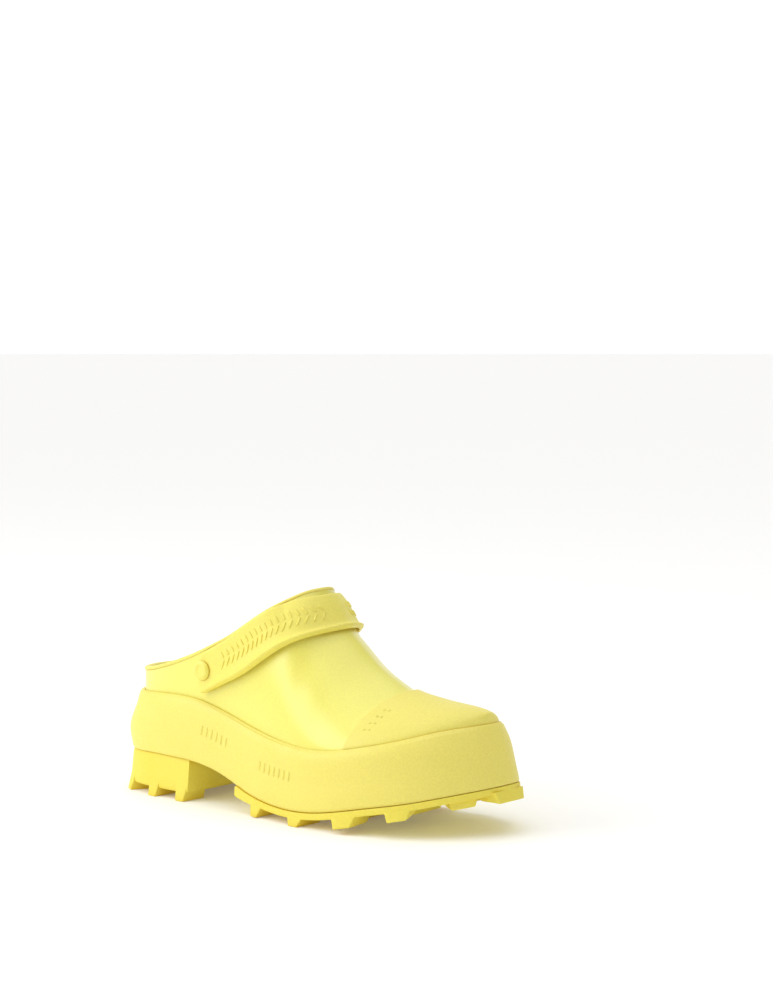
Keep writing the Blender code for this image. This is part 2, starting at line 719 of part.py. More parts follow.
END_X = 86.2
y_pad = {s: abs(rib(95, s, 0.0)[1]) + 0.9 for s in (-1, 1)}


def bead(q):
    """Extra thickness of the rolled lower edge of the strap."""
    return 2.4 * math.exp(-((q - 0.93) / 0.075) ** 2)


def strap_point(m, s, q, outer):
    """m 0..1 from the strap's end to the instep line, q 0..1 from its upper to
    its lower edge.  The last stretch before the rivet is flat and square to the
    pivot, so that the strap can turn."""
    xf = front_station(q)
    xe = END_X + 1.0 + (end_inset(q) if m < 0.5 else 0.0) * (1 - min(m * 2, 1))
    x = xe + (xf - xe) * (1 - (1 - m) ** 1.8)
    phi = math.pi / 2 if m >= 1 else band_phi(x if m < 1 else xf, s, q)
    if m >= 1:
        x = xf
    p, n = surf(x, s, phi)
    b = bead(q) * min(m * 6, 1)
    k = min(max((m - 0.5) / 0.4, 0), 1)
    t = (STRAP_T - 1.6 * k) * (1 - 0.4 * k * max(1 - q / 0.3, 0))
    off = 0.7 - 0.2 * k + (t + b * (1 - 0.2 * k) if outer else 0.5 * b)
    r = p + n * off
    w = min(max((0.62 - m) / 0.3, 0.0), 1.0)
    if w > 0:
        need = y_pad[s] + (STRAP_T + b if outer else 0.5 * b)
        r[1] = s * (abs(r[1]) + (max(need, abs(r[1])) - abs(r[1])) * w)
    return r


def end_inset(q):
    """Rounds the corners of the strap's end."""
    d = min(q, 1 - q) * 27.0
    R = 6.5
    return 0.0 if d >= R else R - math.sqrt(max(R * R - (R - d) ** 2, 0.0))


M_ROWS = 15
Q = (0.0, 0.03, 0.12, 0.35, 0.62, 0.84, 0.93, 0.98, 1.0)
sk = Skin()
sect = []
ms = [i / M_ROWS for i in range(M_ROWS + 1)]
line = [(m, -1) for m in ms] + [(m, 1) for m in reversed(ms[:-1])]
for (m, s) in line:
    sect.append([sk.add(strap_point(m, s, q, True)) for q in Q]
                + [sk.add(strap_point(m, s, q, False)) for q in reversed(Q)])
for a, b in zip(sect, sect[1:]):
    sk.strip(a, b)
for e, back in ((sect[0], True), (sect[-1], False)):
    n = len(Q)
    for i in range(n - 1):
        f = [e[i], e[i + 1], e[2 * n - 2 - i], e[2 * n - 1 - i]]
        sk.f.append(f[::-1] if back else f)
strap = new_object("heel_strap", sk.v, sk.f, "strap")
PIVOT = put((PIVOT_X, OFFSET[1], PIVOT_Z))
strap.data.transform(mathutils.Matrix.Translation([-c for c in PIVOT]))
strap.location = PIVOT

bore = cylinder("pivot_bore", HOLE_R, (PIVOT_X, -70, PIVOT_Z), (PIVOT_X, 70, PIVOT_Z), 20)
for ob in (strap, shell, lining):
    cut(ob, bore)


# --------------------------------------------------------------------- rivets
def turned(name, profile, side, y0, mat):
    """A turned piece on the pivot: profile is (radius, distance outwards from
    y0), run down its outer side."""
    bm = bmesh.new()
    loop = profile[0] == profile[-1]
    vs = [bm.verts.new((r * 0.001, 0, d * 0.001)) for r, d in (profile[:-1] if loop else profile)]
    for a, b in zip(vs, vs[1:] + (vs[:1] if loop else [])):
        bm.edges.new((a, b))
    me = bpy.data.meshes.new(name)
    bm.to_mesh(me)
    bm.free()
    me.materials.append(M[mat])
    ob = bpy.data.objects.new(name, me)
    parts.objects.link(ob)
    m = ob.modifiers.new("turn", "SCREW")
    m.axis = "Z"
    m.steps = m.render_steps = 28
    m.use_merge_vertices = True
    m.merge_threshold = 0.00001
    ob.rotation_euler = (math.pi / 2 * (1 if side < 0 else -1), 0, 0)
    ob.location = put((PIVOT_X, y0 + 0.0, PIVOT_Z))
    return ob


for s, tag in ((-1, "lateral"), (1, "medial")):
    y_strap = y_pad[s] + STRAP_T                 # outer face of the strap's end
    wall = abs(rib(95, s, 0.35)[1]) - inside - 1.2   # inner face of the lining
    reach = y_strap + GAP - wall + 1.9
    head = [(0, 2.3), (2.4, 2.2), (4.4, 1.7), (5.8, 1.0), (HEAD_R, 0.3), (HEAD_R, 0.0),
            (SHANK_R, 0.0), (SHANK_R, -reach), (0, -reach)]
    turned("rivet_button_" + tag, head, s, s * (y_strap + GAP), "rivet")
    c0 = wall - 0.2
    ring = [(SHANK_R + 0.3, 0.0), (SHANK_R + 0.3, 0.0)]
    capp = [(HOLE_R, 0.0), (CAP_R, 0.0), (CAP_R, -1.0), (CAP_R - 0.7, -1.7), (HOLE_R, -1.7), (HOLE_R, 0.0)]
    turned("rivet_cap_" + tag, capp, s, s * c0, "rivet")
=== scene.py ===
"""The looks of the rubber garden clog: fine meshes and materials around the
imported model.  Shape functions work in millimetres, x from the back of the heel."""
import math
import bpy
import bmesh
import mathutils
import numpy as np
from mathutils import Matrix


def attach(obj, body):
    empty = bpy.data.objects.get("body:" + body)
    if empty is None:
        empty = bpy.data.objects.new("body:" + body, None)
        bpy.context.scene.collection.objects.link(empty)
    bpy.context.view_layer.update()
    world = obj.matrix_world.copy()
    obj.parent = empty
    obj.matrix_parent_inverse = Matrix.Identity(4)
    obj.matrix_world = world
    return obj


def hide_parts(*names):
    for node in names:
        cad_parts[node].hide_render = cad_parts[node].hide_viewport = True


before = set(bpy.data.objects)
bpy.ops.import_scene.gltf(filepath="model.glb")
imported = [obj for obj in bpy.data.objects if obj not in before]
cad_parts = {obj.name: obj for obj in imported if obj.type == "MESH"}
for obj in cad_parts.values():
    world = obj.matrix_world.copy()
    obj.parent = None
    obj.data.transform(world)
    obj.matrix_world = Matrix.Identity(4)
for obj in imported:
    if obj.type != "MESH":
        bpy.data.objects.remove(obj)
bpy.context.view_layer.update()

# ------------------------------------------------------------ dimensions, mm
LENGTH = 300.0              # outline length, EU 42
SHELL_T = 2.6               # moulded upper
LINING_T = 1.0
GAP = 0.35                  # between touching pieces
BOARD_T, FOAM_T, COVER_T = 1.8, 4.0, 1.2
BEAD_R = 1.5                # rolled collar edge
STRAP_T = 4.2
PIVOT_X, PIVOT_Z = 93.0, 87.3
SHANK_R = 3.0               # rivet shank
HOLE_R = 3.3                # holes in strap, shell and lining
HEAD_R = 6.4                # rivet button
CAP_R = 5.6                 # inner rivet cap
APEX_X = 163.0              # front of the foot opening on the instep line
CAP_X = 232.0               # back of the toe cap on the instep line
HEEL_FRONT = 78.5           # breast of the heel block
FORE_BACK = 124.0           # back end of the forefoot sole
BED = BOARD_T + FOAM_T + COVER_T + 2 * GAP

# plan of the sole edge, heel -> lateral -> toe -> medial
OUTLINE = [(0, 0), (4.5, -18), (18, -33), (40, -40), (70, -42.5), (105, -44.5),
           (140, -49.5), (172, -54.5), (204, -56.5), (234, -53), (260, -44),
           (281, -29), (295, -10), (300, 8), (296.5, 25), (284, 38), (262, 46),
           (234, 49), (204, 48.5), (172, 45.5), (140, 41.5), (105, 39.5),
           (70, 40.5), (40, 39), (18, 32.5), (4.5, 18)]


def spline(pts, step=0.1):
    """Natural cubic through (x, y) points, held at its end values, read from a
    fine table."""
    x = np.array([p[0] for p in pts], float)
    y = np.array([p[1] for p in pts], float)
    n = len(x)
    h = np.diff(x)
    A = np.eye(n)
    r = np.zeros(n)
    for i in range(1, n - 1):
        A[i, i - 1], A[i, i], A[i, i + 1] = h[i - 1], 2 * (h[i - 1] + h[i]), h[i]
        r[i] = 6 * ((y[i + 1] - y[i]) / h[i] - (y[i] - y[i - 1]) / h[i - 1])
    m = np.linalg.solve(A, r)
    span = x[-1] - x[0]
    count = int(min(max(span / step, 400), 4000))
    q = np.linspace(x[0], x[-1], count + 1)
    i = np.clip(np.searchsorted(x, q) - 1, 0, n - 2)
    a, b = x[i + 1] - q, q - x[i]
    tab = (m[i] * a ** 3 / (6 * h[i]) + m[i + 1] * b ** 3 / (6 * h[i])
           + (y[i] / h[i] - m[i] * h[i] / 6) * a
           + (y[i + 1] / h[i] - m[i + 1] * h[i] / 6) * b).tolist()
    x0, k = float(x[0]), count / float(span)

    def f(v):
        u = (v - x0) * k
        if u <= 0:
            return tab[0]
        if u >= count:
            return tab[-1]
        i = int(u)
        return tab[i] + (tab[i + 1] - tab[i]) * (u - i)
    return f


# side-view profiles, height over x
z_seam = spline([(0, 27.2), (25, 27.6), (45, 28.2), (62, 28.0), (78, 27.4), (92, 25.9),
                 (106, 23.0), (120, 18.8), (134, 14.2), (150, 10.8), (168, 9.1),
                 (188, 9.4), (213, 12.8), (236, 17.3), (262, 22.2), (280, 26.4), (300, 31.0)])
_tread = spline([(0, 0), (80, 0), (112, 2.2), (140, 0.8), (162, 0.0), (191, 0.0),
                  (206, 1.3), (222, 4.0), (240, 7.8), (258, 11.6), (280, 16.4), (300, 20.8)])


def z_tread(x):
    return max(_tread(x), 0.0)


z_fox = spline([(0, 66.3), (29, 66.6), (45, 67.6), (62, 68.2), (80, 67.6), (98, 64.8),
                (122, 58.9), (149, 52.8), (175, 49.2), (198, 48.5), (212, 49.8),
                (236, 54.2), (260, 59.0), (280, 63.6), (300, 66.2)])
z_rim = spline([(0, 78.2), (12, 78.4), (25, 79.4), (40, 82.0), (55, 86.0), (69, 90.6),
                (82, 95.6), (96, 101.9), (112, 110.0), (126, 119.2), (138, 127.4),
                (150, 134.6), (158, 138.6), (163, 140.4), (175, 144)])
z_spine = spline([(40, 196), (62, 192), (85, 185), (110, 174.5), (125, 167.3), (138, 160.0),
                  (150, 152.0), (163, 140.4), (175, 122.8), (188, 110.0), (197, 101.8),
                  (207, 94.0), (219, 87.2), (232, 81.0), (246, 77.6), (259, 75.4),
                  (273, 73.4), (284, 71.0), (300, 68)])
z_bed = spline([(0, 47.5), (30, 46), (62, 45.4), (90, 42), (120, 34), (150, 25.8), (175, 22),
                (200, 22.6), (230, 27), (260, 34), (280, 39.4), (300, 45)])
y_mid = spline([(0, 0), (60, 0), (110, -0.6), (150, -1.8), (175, -1.8), (200, -0.8), (240, 1.0), (268, 4), (288, 8), (300, 8)])
# shape of the upper's cross-section: how square its plan corner and how steep
# its wall, from boxy at the heel to roof-like over the toes
exp_y = spline([(0, 0.84), (60, 0.86), (93, 0.94), (125, 1.0), (300, 1.0)])
exp_z = spline([(0, 0.84), (60, 0.86), (93, 0.94), (125, 1.02), (150, 1.12), (188, 1.32),
                (220, 1.55), (250, 1.5), (280, 1.36), (300, 1.3)])
# where the rib that starts at x on the sole edge meets the instep line
target = spline([(0, 46), (9, 50), (30, 56), (50, 65), (70, 79), (93, 97.5), (115, 117),
                 (140, 141), (161, 163), (180, 187), (200, 212), (217, 232), (238, 249),
                 (258, 262), (274, 271), (288, 279), (296, 283), (300, 284.6)])
in_shell = spline([(0, 12.0), (50, 8.4), (100, 6.4), (150, 6.1), (200, 6.2), (230, 7.8),
                   (255, 10.8), (280, 14.2), (300, 15.4)])
in_top = spline([(0, 9.3), (50, 5.7), (100, 4.4), (150, 4.3), (200, 4.3), (230, 5.6),
                 (255, 8.2), (280, 11.4), (300, 12.4)])
# inset of the sidewall from the outline, by height fraction, in four zones
WALL_V = (0.0, 0.15, 0.45, 0.75, 0.93)
WALL = {0: (2.8, 1.7, 1.4, 6.4, 8.3), 45: (2.2, 1.2, 0.5, 2.6, 4.6), 100: (1.7, 0.8, 0.6, 1.4, 2.9),
        200: (1.4, 0.4, 1.1, 1.0, 2.6), 300: (1.2, 2.5, 4.9, 8.0, 11.2)}


def closed_spline(pts):
    """Periodic cubic through plan points, by chord length."""
    P = np.array(pts + [pts[0]], float)
    d = np.r_[0, np.cumsum(np.hypot(*np.diff(P, axis=0).T))]
    n = len(P) - 1
    h = np.diff(d)
    out = []
    for c in range(2):
        y = P[:, c]
        A = np.zeros((n, n))
        r = np.zeros(n)
        for i in range(n):
            k = (i - 1) % n
            A[i, k] += h[k]
            A[i, i] += 2 * (h[k] + h[i])
            A[i, (i + 1) % n] += h[i]
            r[i] = 6 * ((y[i + 1] - y[i]) / h[i] - (y[i] - P[k, c]) / h[k])
        m = np.linalg.solve(A, r)
        out.append(np.r_[m, m[0]])

    def f(t):
        s = (np.asarray(t, float) % 1.0) * d[-1]
        i = np.clip(np.searchsorted(d, s, side="right") - 1, 0, n - 1)
        a, b = d[i + 1] - s, s - d[i]
        res = []
        for c in range(2):
            y, m = P[:, c], out[c]
            res.append(m[i] * a ** 3 / (6 * h[i]) + m[i + 1] * b ** 3 / (6 * h[i])
                       + (y[i] / h[i] - m[i] * h[i] / 6) * a
                       + (y[i + 1] / h[i] - m[i + 1] * h[i] / 6) * b)
        return np.stack(res, -1)
    return f


plan = closed_spline(OUTLINE)
_t = np.linspace(0, 1, 4001)[:-1]
_p = plan(_t)
_heel, _toe = int(_p[:, 0].argmin()), int(_p[:, 0].argmax())
_lat = [(_heel + k) % 4000 for k in range((_toe - _heel) % 4000 + 1)]
_med = [(_heel - k) % 4000 for k in range((_heel - _toe) % 4000 + 1)]
X0, X1 = _p[_heel, 0], _p[_toe, 0]
_g = np.roll(_p, -1, 0) - np.roll(_p, 1, 0)
_g /= np.hypot(_g[:, 0], _g[:, 1])[:, None]
_area = 0.5 * np.sum(_p[:, 0] * np.roll(_p[:, 1], -1) - np.roll(_p[:, 0], -1) * _p[:, 1])
_in = np.stack([-_g[:, 1], _g[:, 0]], -1) * (1 if _area > 0 else -1)     # inward normals
_side = {-1: (_p[_lat], _in[_lat]), 1: (_p[_med], _in[_med])}


def edge(x, side, inset=0.0):
    """Plan point at sole-edge station x on a side (-1 lateral, +1 medial), moved
    inwards by inset along the outline's own normal."""
    P, N = _side[side]
    i = int(np.searchsorted(P[:, 0], x))
    i = min(max(i, 1), len(P) - 1)
    d = P[i, 0] - P[i - 1, 0]
    w = min(max((x - P[i - 1, 0]) / d, 0.0), 1.0) if d > 1e-12 else 0.0
    p = P[i - 1] + (P[i] - P[i - 1]) * w
    n = N[i - 1] + (N[i] - N[i - 1]) * w
    return p + n / math.hypot(n[0], n[1]) * inset


_rows = {}


def wall_inset(x, v):
    """Inset of the outer face of the sidewall at height fraction v."""
    if v >= 1:
        return in_top(x)
    if v not in _rows:
        _rows[v] = spline([(zx, spline(list(zip(WALL_V + (1.0,), WALL[zx] + (in_top(zx),))))(v))
                           for zx in sorted(WALL)])
    return _rows[v](x)


def rib(x, side, phi, grow=0.0, lift=0.0):
    """Point of the upper's outer surface on the rib that starts at station x.
    grow moves the base inwards, lift lowers the instep line."""
    b = edge(x, side, in_shell(x) + grow)
    sx = target(x)
    t = np.array([sx - grow * min(max((x - 240) / 60, 0), 1), y_mid(sx)])
    c, s = max(math.cos(phi), 0.0) ** exp_y(x), max(math.sin(phi), 0.0) ** exp_z(x)
    xy = b + (t - b) * (1 - c)
    zb = z_fox(x) - max(grow, 0.0) * min(max((x - 225) / 50, 0), 1)
    return np.array([xy[0], xy[1], zb + (z_spine(sx) - lift - zb) * s])


def rim_phi(x, side):
    """Rib angle at which the rib from station x reaches the collar line."""
    if target(x) >= APEX_X - 1e-6:
        return math.pi / 2
    lo, hi = 0.0, math.pi / 2
    for _ in range(26):
        m = (lo + hi) / 2
        p = rib(x, side, m)
        if p[2] < z_rim(p[0]):
            lo = m
        else:
            hi = m
    return (lo + hi) / 2


def surf(x, s, phi):
    """Point of the upper's outer surface and its normal there."""
    p = rib(x, s, phi)
    if phi > math.pi / 2 - 1e-6:
        q = p[0]
        n = np.array([z_spine(q - 0.5) - z_spine(q + 0.5), 0.0, 1.0])
        return p, n / np.linalg.norm(n)
    e = 1e-3
    a = rib(x, s, min(phi + e, math.pi / 2)) - rib(x, s, max(phi - e, 0))
    b = rib(x + 0.05, s, phi) - rib(x - 0.05, s, phi)
    n = np.cross(a, b)
    n /= np.linalg.norm(n)
    c = np.array([max(p[0], 50.0), y_mid(p[0]), p[2] - 60])
    if n @ (p - c) < 0:
        n = -n
    return p, n


def station_at(target_x):
    lo, hi = 0.0, 300.0
    for _ in range(30):
        m = (lo + hi) / 2
        if target(m) < target_x:
            lo = m
        else:
            hi = m
    return (lo + hi) / 2


XA = station_at(APEX_X)      # station whose rib ends at the front of the opening
XC = station_at(CAP_X)       # station whose rib is the back edge of the toe cap


def ease(a, b, n, k0=1.0, k1=1.0):
    """n stations from a towards b (b left out), closer together at an end whose k is 2."""
    u = np.arange(n) / n
    if k0 == 2 and k1 == 2:
        w = (1 - np.cos(math.pi * u)) / 2
    elif k0 == 2:
        w = 1 - np.cos(math.pi / 2 * u)
    elif k1 == 2:
        w = np.sin(math.pi / 2 * u)
    else:
        w = u
    return list(a + (b - a) * w)


STATIONS = (ease(X0, 55, 7, k0=2) + ease(55, 138, 7) + ease(138, XA, 4, k1=2)
            + ease(XA, XC, 6) + ease(XC, X1, 9, k1=2) + [X1])
NS = len(STATIONS) - 1
JA = min(range(NS + 1), key=lambda j: abs(STATIONS[j] - XA))
JC = min(range(NS + 1), key=lambda j: abs(STATIONS[j] - XC))
RING = [(0, -1)] + [(j, -1) for j in range(1, NS)] + [(NS, -1)] + [(j, 1) for j in range(NS - 1, 0, -1)]

# the sole's footprint box sets the frame's origin
LUG_OUT = 1.4
OFFSET = np.array([(X0 + X1) / 2, (_p[:, 1].min() + _p[:, 1].max()) / 2, 0.0])


def wedge_top(x):
    return z_bed(x) - BED


strap_up = spline([(80, 93.0), (88, 96.4), (96, 100.2), (112, 108.2), (126, 116.8), (138, 125.0),
                   (150, 132.0), (160, 136.4), (167, 138.2), (176, 139.6)])
strap_low = spline([(80, 66.4), (88, 70.0), (100, 75.2), (117, 82.2), (135, 91.0), (146, 98.2),
                    (157, 105.4), (166, 110.8), (175, 114.4), (188, 117.4), (200, 118.4)])


def band_line(q):
    return lambda x: strap_up(x) + (strap_low(x) - strap_up(x)) * q


def front_station(q):
    """Station whose rib meets the band line exactly on the instep line."""
    f = band_line(q)
    lo, hi = XA - 5, XA + 60
    for _ in range(30):
        m = (lo + hi) / 2
        if z_spine(target(m)) > f(target(m)):
            lo = m
        else:
            hi = m
    return (lo + hi) / 2


def band_phi(x, s, q):
    f = band_line(q)
    lo, hi = 0.0, math.pi / 2
    for _ in range(26):
        m = (lo + hi) / 2
        p = rib(x, s, m)
        if p[2] < f(p[0]):
            lo = m
        else:
            hi = m
    return (lo + hi) / 2


END_X = 86.2
y_pad = {s: abs(rib(95, s, 0.0)[1]) + 0.9 for s in (-1, 1)}


def bead(q):
    """Extra thickness of the rolled lower edge of the strap."""
    return 2.4 * math.exp(-((q - 0.93) / 0.075) ** 2)


def strap_point(m, s, q, outer):
    """m 0..1 from the strap's end to the instep line, q 0..1 from its upper to
    its lower edge.  The last stretch before the rivet is flat and square to the
    pivot, so that the strap can turn."""
    xf = front_station(q)
    xe = END_X + 1.0 + (end_inset(q) if m < 0.5 else 0.0) * (1 - min(m * 2, 1))
    x = xe + (xf - xe) * (1 - (1 - m) ** 1.8)
    phi = math.pi / 2 if m >= 1 else band_phi(x if m < 1 else xf, s, q)
    if m >= 1:
        x = xf
    p, n = surf(x, s, phi)
    b = bead(q) * min(m * 6, 1)
    k = min(max((m - 0.5) / 0.4, 0), 1)
    t = (STRAP_T - 1.6 * k) * (1 - 0.4 * k * max(1 - q / 0.3, 0))
    off = 0.7 - 0.2 * k + (t + b * (1 - 0.2 * k) if outer else 0.5 * b)
    r = p + n * off
    w = min(max((0.62 - m) / 0.3, 0.0), 1.0)
    if w > 0:
        need = y_pad[s] + (STRAP_T + b if outer else 0.5 * b)
        r[1] = s * (abs(r[1]) + (max(need, abs(r[1])) - abs(r[1])) * w)
    return r


def end_inset(q):
    """Rounds the corners of the strap's end."""
    d = min(q, 1 - q) * 27.0
    R = 6.5
    return 0.0 if d >= R else R - math.sqrt(max(R * R - (R - d) ** 2, 0.0))




# =============================================================== mesh helpers
def put(p):
    return tuple((np.asarray(p, float) - OFFSET) * 0.001)


def new_object(name, verts, faces, mat, body="shoe", node=None, sharp=35):
    me = bpy.data.meshes.new(name)
    me.from_pydata([put(v) for v in verts], [], faces)
    bm = bmesh.new()
    bm.from_mesh(me)
    bmesh.ops.remove_doubles(bm, verts=bm.verts, dist=1e-6)
    bmesh.ops.recalc_face_normals(bm, faces=bm.faces)
    if bm.calc_volume(signed=True) < 0:
        bmesh.ops.reverse_faces(bm, faces=bm.faces)
    bm.to_mesh(me)
    bm.free()
    me.materials.append(mat)
    ob = bpy.data.objects.new(name, me)
    bpy.context.scene.collection.objects.link(ob)
    me.shade_smooth()
    if sharp:
        me.set_sharp_from_angle(angle=math.radians(sharp))
    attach(ob, body)
    if node:
        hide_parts(*([node] if isinstance(node, str) else node))
    return ob


class Skin:
    """Collects vertices and faces of one closed surface."""
    def __init__(self):
        self.v, self.f = [], []

    def add(self, p):
        self.v.append(p)
        return len(self.v) - 1

    def strip(self, a, b, closed=True):
        n = len(a)
        for i in range(n if closed else n - 1):
            k = (i + 1) % n
            q = []
            for w in (a[i], a[k], b[k], b[i]):
                if w not in q:
                    q.append(w)
            if len(q) > 2:
                self.f.append(q)


def smoothstep(a, b, x):
    t = min(max((x - a) / (b - a), 0.0), 1.0)
    return t * t * (3 - 2 * t)


# ================================================================== materials
def rubber(name, color, dark, rough, coat=0.0, coat_rough=0.2, grain=0.0, grain_scale=2600.0,
           sss=0.0, wave=0.0, sheen=0.0, spec=0.5, rough_var=0.06, mottling=0.5, crease_shade_color=None,
           reach=0.0035, local=False):
    """Moulded rubber or plastic: base colour that drifts a little, roughness that
    varies, a fine moulding grain and slow waviness as bump."""
    m = bpy.data.materials.new(name)
    m.use_nodes = True
    nt = m.node_tree
    N, L = nt.nodes, nt.links
    b = N["Principled BSDF"]
    tc = N.new("ShaderNodeTexCoord")
    n1 = N.new("ShaderNodeTexNoise")
    n1.inputs["Scale"].default_value = 18.0
    n1.inputs["Detail"].default_value = 4.0
    L.new(tc.outputs["Object"], n1.inputs["Vector"])
    r1 = N.new("ShaderNodeMapRange")
    r1.inputs["From Min"].default_value = 0.3
    r1.inputs["From Max"].default_value = 0.7
    r1.inputs["To Min"].default_value = 0.0
    r1.inputs["To Max"].default_value = mottling
    L.new(n1.outputs["Fac"], r1.inputs["Value"])
    mx = N.new("ShaderNodeMix")
    mx.data_type = "RGBA"
    mx.inputs[6].default_value = (*color, 1)
    mx.inputs[7].default_value = (*dark, 1)
    L.new(r1.outputs["Result"], mx.inputs[0])
    # fine speckle of the moulding compound
    n2 = N.new("ShaderNodeTexNoise")
    n2.inputs["Scale"].default_value = 900.0
    n2.inputs["Detail"].default_value = 2.0
    L.new(tc.outputs["Object"], n2.inputs["Vector"])
    r2 = N.new("ShaderNodeMapRange")
    r2.inputs["From Min"].default_value = 0.35
    r2.inputs["From Max"].default_value = 0.65
    r2.inputs["To Min"].default_value = 0.97
    r2.inputs["To Max"].default_value = 1.03
    L.new(n2.outputs["Fac"], r2.inputs["Value"])
    mul = N.new("ShaderNodeMix")
    mul.data_type = "RGBA"
    mul.blend_type = "MULTIPLY"
    mul.inputs[0].default_value = 1.0
    L.new(mx.outputs[2], mul.inputs[6])
    L.new(r2.outputs["Result"], mul.inputs[7])
    out = mul.outputs[2]
    if crease_shade_color:
        # painted shade: the base colour turns darker and deeper orange where faces close in on each other (ambient
        # occlusion), standing in for shade in creases and gaps
        ao = N.new("ShaderNodeAmbientOcclusion")
        ao.samples = 8
        ao.only_local = local
        ao.inputs["Distance"].default_value = reach
        ar = N.new("ShaderNodeMapRange")
        ar.inputs["From Min"].default_value = 0.15
        ar.inputs["From Max"].default_value = 0.80
        ar.inputs["To Min"].default_value = 1.0
        ar.inputs["To Max"].default_value = 0.0
        L.new(ao.outputs["AO"], ar.inputs["Value"])
        dm = N.new("ShaderNodeMix")
        dm.data_type = "RGBA"
        dm.inputs[7].default_value = (*crease_shade_color, 1)
        L.new(ar.outputs["Result"], dm.inputs[0])
        L.new(out, dm.inputs[6])
        out = dm.outputs[2]
    L.new(out, b.inputs["Base Color"])
    rr = N.new("ShaderNodeMapRange")
    rr.inputs["From Min"].default_value = 0.3
    rr.inputs["From Max"].default_value = 0.7
    rr.inputs["To Min"].default_value = max(rough - rough_var, 0.02)
    rr.inputs["To Max"].default_value = rough + rough_var
    n3 = N.new("ShaderNodeTexNoise")
    n3.inputs["Scale"].default_value = 60.0
    n3.inputs["Detail"].default_value = 6.0
    L.new(tc.outputs["Object"], n3.inputs["Vector"])
    L.new(n3.outputs["Fac"], rr.inputs["Value"])
    L.new(rr.outputs["Result"], b.inputs["Roughness"])
    b.inputs["Specular IOR Level"].default_value = spec
    b.inputs["Coat Weight"].default_value = coat
    b.inputs["Coat Roughness"].default_value = coat_rough
    if sss:
        b.inputs["Subsurface Weight"].default_value = sss
        b.inputs["Subsurface Radius"].default_value = (1.0, 0.75, 0.2)
        b.inputs["Subsurface Scale"].default_value = 0.003
    if sheen:
        b.inputs["Sheen Weight"].default_value = sheen
        b.inputs["Sheen Roughness"].default_value = 0.4
    prev = None
    if wave:
        nw = N.new("ShaderNodeTexNoise")
        nw.inputs["Scale"].default_value = 30.0
        nw.inputs["Detail"].default_value = 2.0
        L.new(tc.outputs["Object"], nw.inputs["Vector"])
        bw = N.new("ShaderNodeBump")
        bw.inputs["Strength"].default_value = 1.0
        bw.inputs["Distance"].default_value = wave
        L.new(nw.outputs["Fac"], bw.inputs["Height"])
        prev = bw
    if grain:
        ng = N.new("ShaderNodeTexNoise")
        ng.inputs["Scale"].default_value = grain_scale
        ng.inputs["Detail"].default_value = 3.0
        ng.inputs["Roughness"].default_value = 0.6
        L.new(tc.outputs["Object"], ng.inputs["Vector"])
        bg = N.new("ShaderNodeBump")
        bg.inputs["Strength"].default_value = 1.0
        bg.inputs["Distance"].default_value = grain
        L.new(ng.outputs["Fac"], bg.inputs["Height"])
        if prev:
            L.new(prev.outputs["Normal"], bg.inputs["Normal"])
        prev = bg
    if prev:
        L.new(prev.outputs["Normal"], b.inputs["Normal"])
    return m


def textile(name, color, dark, pitch=0.0011, depth=0.00022, rough=0.9):
    """A fine knit or weave: two crossed wave textures as bump height and as painted shade, darker in the grooves
    between the threads.
    """
    m = bpy.data.materials.new(name)
    m.use_nodes = True
    nt = m.node_tree
    N, L = nt.nodes, nt.links
    b = N["Principled BSDF"]
    tc = N.new("ShaderNodeTexCoord")
    waves = []
    for ax in ("X", "Y", "Z"):
        w = N.new("ShaderNodeTexWave")
        w.wave_type = "BANDS"
        w.bands_direction = ax
        w.inputs["Scale"].default_value = 0.314 / pitch
        w.inputs["Distortion"].default_value = 0.6
        w.inputs["Detail"].default_value = 1.0
        w.inputs["Detail Scale"].default_value = 3.0
        L.new(tc.outputs["Object"], w.inputs["Vector"])
        waves.append(w)
    a = N.new("ShaderNodeMath")
    a.operation = "MAXIMUM"
    L.new(waves[0].outputs["Fac"], a.inputs[0])
    L.new(waves[1].outputs["Fac"], a.inputs[1])
    c = N.new("ShaderNodeMath")
    c.operation = "MULTIPLY"
    L.new(a.outputs[0], c.inputs[0])
    mr = N.new("ShaderNodeMapRange")
    mr.inputs["To Min"].default_value = 0.6
    mr.inputs["To Max"].default_value = 1.0
    L.new(waves[2].outputs["Fac"], mr.inputs["Value"])
    L.new(mr.outputs["Result"], c.inputs[1])
    n = N.new("ShaderNodeTexNoise")
    n.inputs["Scale"].default_value = 40.0
    n.inputs["Detail"].default_value = 5.0
    L.new(tc.outputs["Object"], n.inputs["Vector"])
    # painted shade: the colour runs from the dark colour in the low grooves of the weave to the full colour on the
    # raised threads
    mx = N.new("ShaderNodeMix")
    mx.data_type = "RGBA"
    mx.inputs[6].default_value = (*dark, 1)
    mx.inputs[7].default_value = (*color, 1)
    L.new(c.outputs[0], mx.inputs[0])
    r2 = N.new("ShaderNodeMapRange")
    r2.inputs["From Min"].default_value = 0.3
    r2.inputs["From Max"].default_value = 0.7
    r2.inputs["To Min"].default_value = 0.88
    r2.inputs["To Max"].default_value = 1.06
    L.new(n.outputs["Fac"], r2.inputs["Value"])
    mul = N.new("ShaderNodeMix")
    mul.data_type = "RGBA"
    mul.blend_type = "MULTIPLY"
    mul.inputs[0].default_value = 1.0
    L.new(mx.outputs[2], mul.inputs[6])
    L.new(r2.outputs["Result"], mul.inputs[7])
    L.new(mul.outputs[2], b.inputs["Base Color"])
    b.inputs["Roughness"].default_value = rough
    b.inputs["Sheen Weight"].default_value = 0.35
    b.inputs["Sheen Roughness"].default_value = 0.5
    bp = N.new("ShaderNodeBump")
    bp.inputs["Strength"].default_value = 1.0
    bp.inputs["Distance"].default_value = depth
    L.new(c.outputs[0], bp.inputs["Height"])
    L.new(bp.outputs["Normal"], b.inputs["Normal"])
    return m


